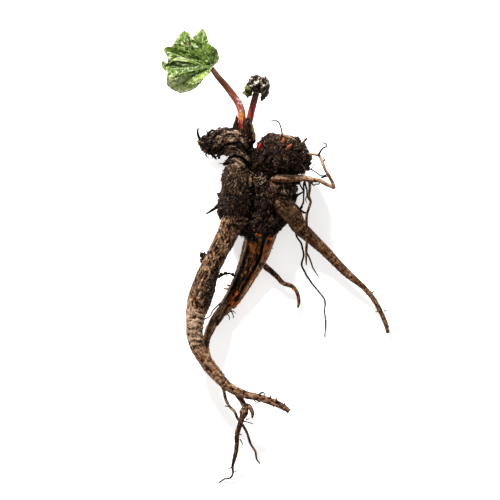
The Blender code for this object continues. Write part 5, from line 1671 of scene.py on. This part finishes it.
def make_open_leaf(materials):
    """The open leaf: one blade with a top and an underside, thinner towards its edge."""
    flat, faces, loop = sheet_mesh(LEAF_OUTLINE, LEAF_FINE_STEP)
    height, vein, crest = leaf_shape(flat)
    x, y = flat[:, 0], flat[:, 1]
    edge = np.min([np.hypot(x - ex, y - ey) for ex, ey in loop[::2]], axis=0)
    ragged = wave(on_plane(flat), 5.0, 6.0)
    margin = ramp_up(line_distance(flat, LEAF_PALE_EDGE) + 1.2 * ragged, 8.5, 5.5)
    margin *= ramp_up(-y, -184.5, -181.5)
    margin = np.maximum(margin, 0.9 * spot(x, y, (-91, 175), (7, 3.6)))
    right_lobe = ramp_up(line_distance(flat, LEAF_RIGHT_LOBE) + ragged, 4.5, 1.5)
    olive_edge = ramp_up(edge, 2.6 + ragged, 0.3)
    olive = np.max((0.45 * olive_edge, 0.95 * margin, 0.3 * right_lobe), axis=0)
    rusty_edge = ramp_up(edge, 1.3 + 0.6 * ragged, 0.2) * (1 - 0.5 * margin)
    rust = np.maximum(spot(x, y, (-88, 212), (1.6, 2.6)), 0.7 * rusty_edge)
    half = 0.5 * LEAF_THICKNESS * (0.5 + 0.5 * ramp_up(edge, 0.0, 3.0))
    count, rim = len(flat), len(loop)
    under = [[k + count for k in face[::-1]] for face in faces]
    sides = [[k, k + count, (k + 1) % rim + count, (k + 1) % rim] for k in range(rim)]
    points = [np.column_stack((flat, level)) for level in (height + half, height - half)]
    blade = SimpleNamespace(points=np.concatenate(points), faces=faces + under + sides)
    marks = {"vein": vein, "crest": crest, "olive": olive, "rust": rust}
    add_shape(
        "first_leaf", blade, materials.leaf, "leaf_green", ("open_leaf_blade",),
        **{name: np.concatenate((values, values)) for name, values in marks.items()})


def make_young_leaf(materials):
    """The second leaf: crumpled, with rolled margins, a flap on its left, a lobe on its right."""
    shapes = [ball(*YOUNG_CORE)] + [tube(route, sides=24, step=0.6) for route in YOUNG_ROLLS]
    mesh = remeshed(new_mesh("second_leaf", gathered(shapes)), YOUNG_FINE_VOXEL, smoothing=2)
    points = mesh_points(mesh)
    x, y, z = points.T
    bent = points + 1.2 * swirl(points, 4.0, 1.0, 12.0, 23.0)
    folds = ridged(bent, 7.0, 3.0)
    pleats = ridged(bent / (3.0, 5.5, 3.0), 1.0, 7.0)
    crumple = 1.5 * folds + 0.8 * pleats + 0.25 * wave(points, 1.4)
    raise_skin(mesh, np.clip(crumple, -2.8, 1.7) - 0.5)
    # Fold lines lift the crest mark into a painted highlight
    lines = ramp_up(ridged(bent / (1.0, 1.5, 1.0), 2.6, 9.0), 0.6, 0.9)
    crest = 0.75 * spread(folds + 0.6 * pleats) - 0.35 + 1.2 * lines
    flap = ramp_up(-x, 22.5, 26) * ramp_up(y, 172, 169)
    yellow = ramp_up(-x, 24, 26) * ramp_up(y, 163, 159)
    # The rim mark is a painted highlight on the leaf's top, on its side towards +Y
    add_piece(
        "second_leaf", mesh, materials.young_leaf, "young_leaf", ("young_leaf_blade",),
        crest=np.clip(crest, -1, 1), olive=np.clip(0.45 * flap + yellow, 0, 1),
        rim=ramp_up(z, 65.5, 68) * ramp_up(y, 168, 171),
    )


def make_floor():
    """The pale surface under the plant, which only stands in the picture."""
    bm = bmesh.new()
    bmesh.ops.create_grid(bm, x_segments=2, y_segments=2, size=FLOOR_HALF_SIZE)
    mesh = bpy.data.meshes.new("pale_floor")
    bm.to_mesh(mesh)
    bm.free()
    mesh.materials.append(paper_material())
    floor = link("pale_floor", mesh)


def make_lights():
    """A bright room, and a lamp that looks at the plant's origin."""
    world = bpy.data.worlds.new("studio")
    bpy.context.scene.world = world
    world.use_nodes = True
    background = world.node_tree.nodes["Background"]
    background.inputs["Color"].default_value = WORLD_COLOUR
    background.inputs["Strength"].default_value = WORLD_STRENGTH
    light = bpy.data.lights.new("key", "AREA")
    light.shape = "DISK"
    light.size, light.energy = LAMP_SIZE, LAMP_POWER
    lamp = link("key", light)
    lamp.location = LAMP_PLACE
    lamp.rotation_euler = (-Vector(LAMP_PLACE)).to_track_quat("-Z", "Y").to_euler()


def make_camera():
    """Straight down with a long lens, so that heights hardly change how wide a millimetre looks."""
    camera = bpy.data.cameras.new("overhead")
    camera.lens, camera.sensor_width = LENS, SENSOR
    camera.clip_end = 50.0
    rig = link("overhead", camera)
    distance = FRAME_WIDTH * LENS / SENSOR
    rig.location = Vector(FRAME_CENTRE) * MM + Vector((0, 0, distance))
    bpy.context.scene.camera = rig
    bpy.context.scene.view_settings.view_transform = "Standard"


def mesh_shape(mesh):
    return SimpleNamespace(
        points=mesh_points(mesh), faces=[list(face.vertices) for face in mesh.polygons])


def main():
    make_camera()
    make_lights()
    make_floor()
    materials = make_materials()
    crown = make_crown(materials)
    soils = make_soil(materials)
    make_left_root(materials)
    make_middle_root(materials)
    make_right_root(materials)
    make_fine_roots(materials)
    make_stalks(materials)
    make_buds(materials)
    make_open_leaf(materials)
    make_young_leaf(materials)
    grown = gathered([mesh_shape(mesh) for mesh in [crown] + soils])
    tree = BVHTree.FromPolygons(grown.points.tolist(), grown.faces)
    make_fibres(tree, grown.points, materials)
    make_shreds(tree, mesh_points(crown), materials)
    knob, neck, oval = crown_zones(grown.points)
    chance = np.clip(1 - knob - neck - 0.8 * oval, 0.05, 1) * ramp_up(grown.points[:, 2], 8, 24)
    make_crumbs(chosen(grown.points, chance, CRUMB_COUNT), materials)


main()
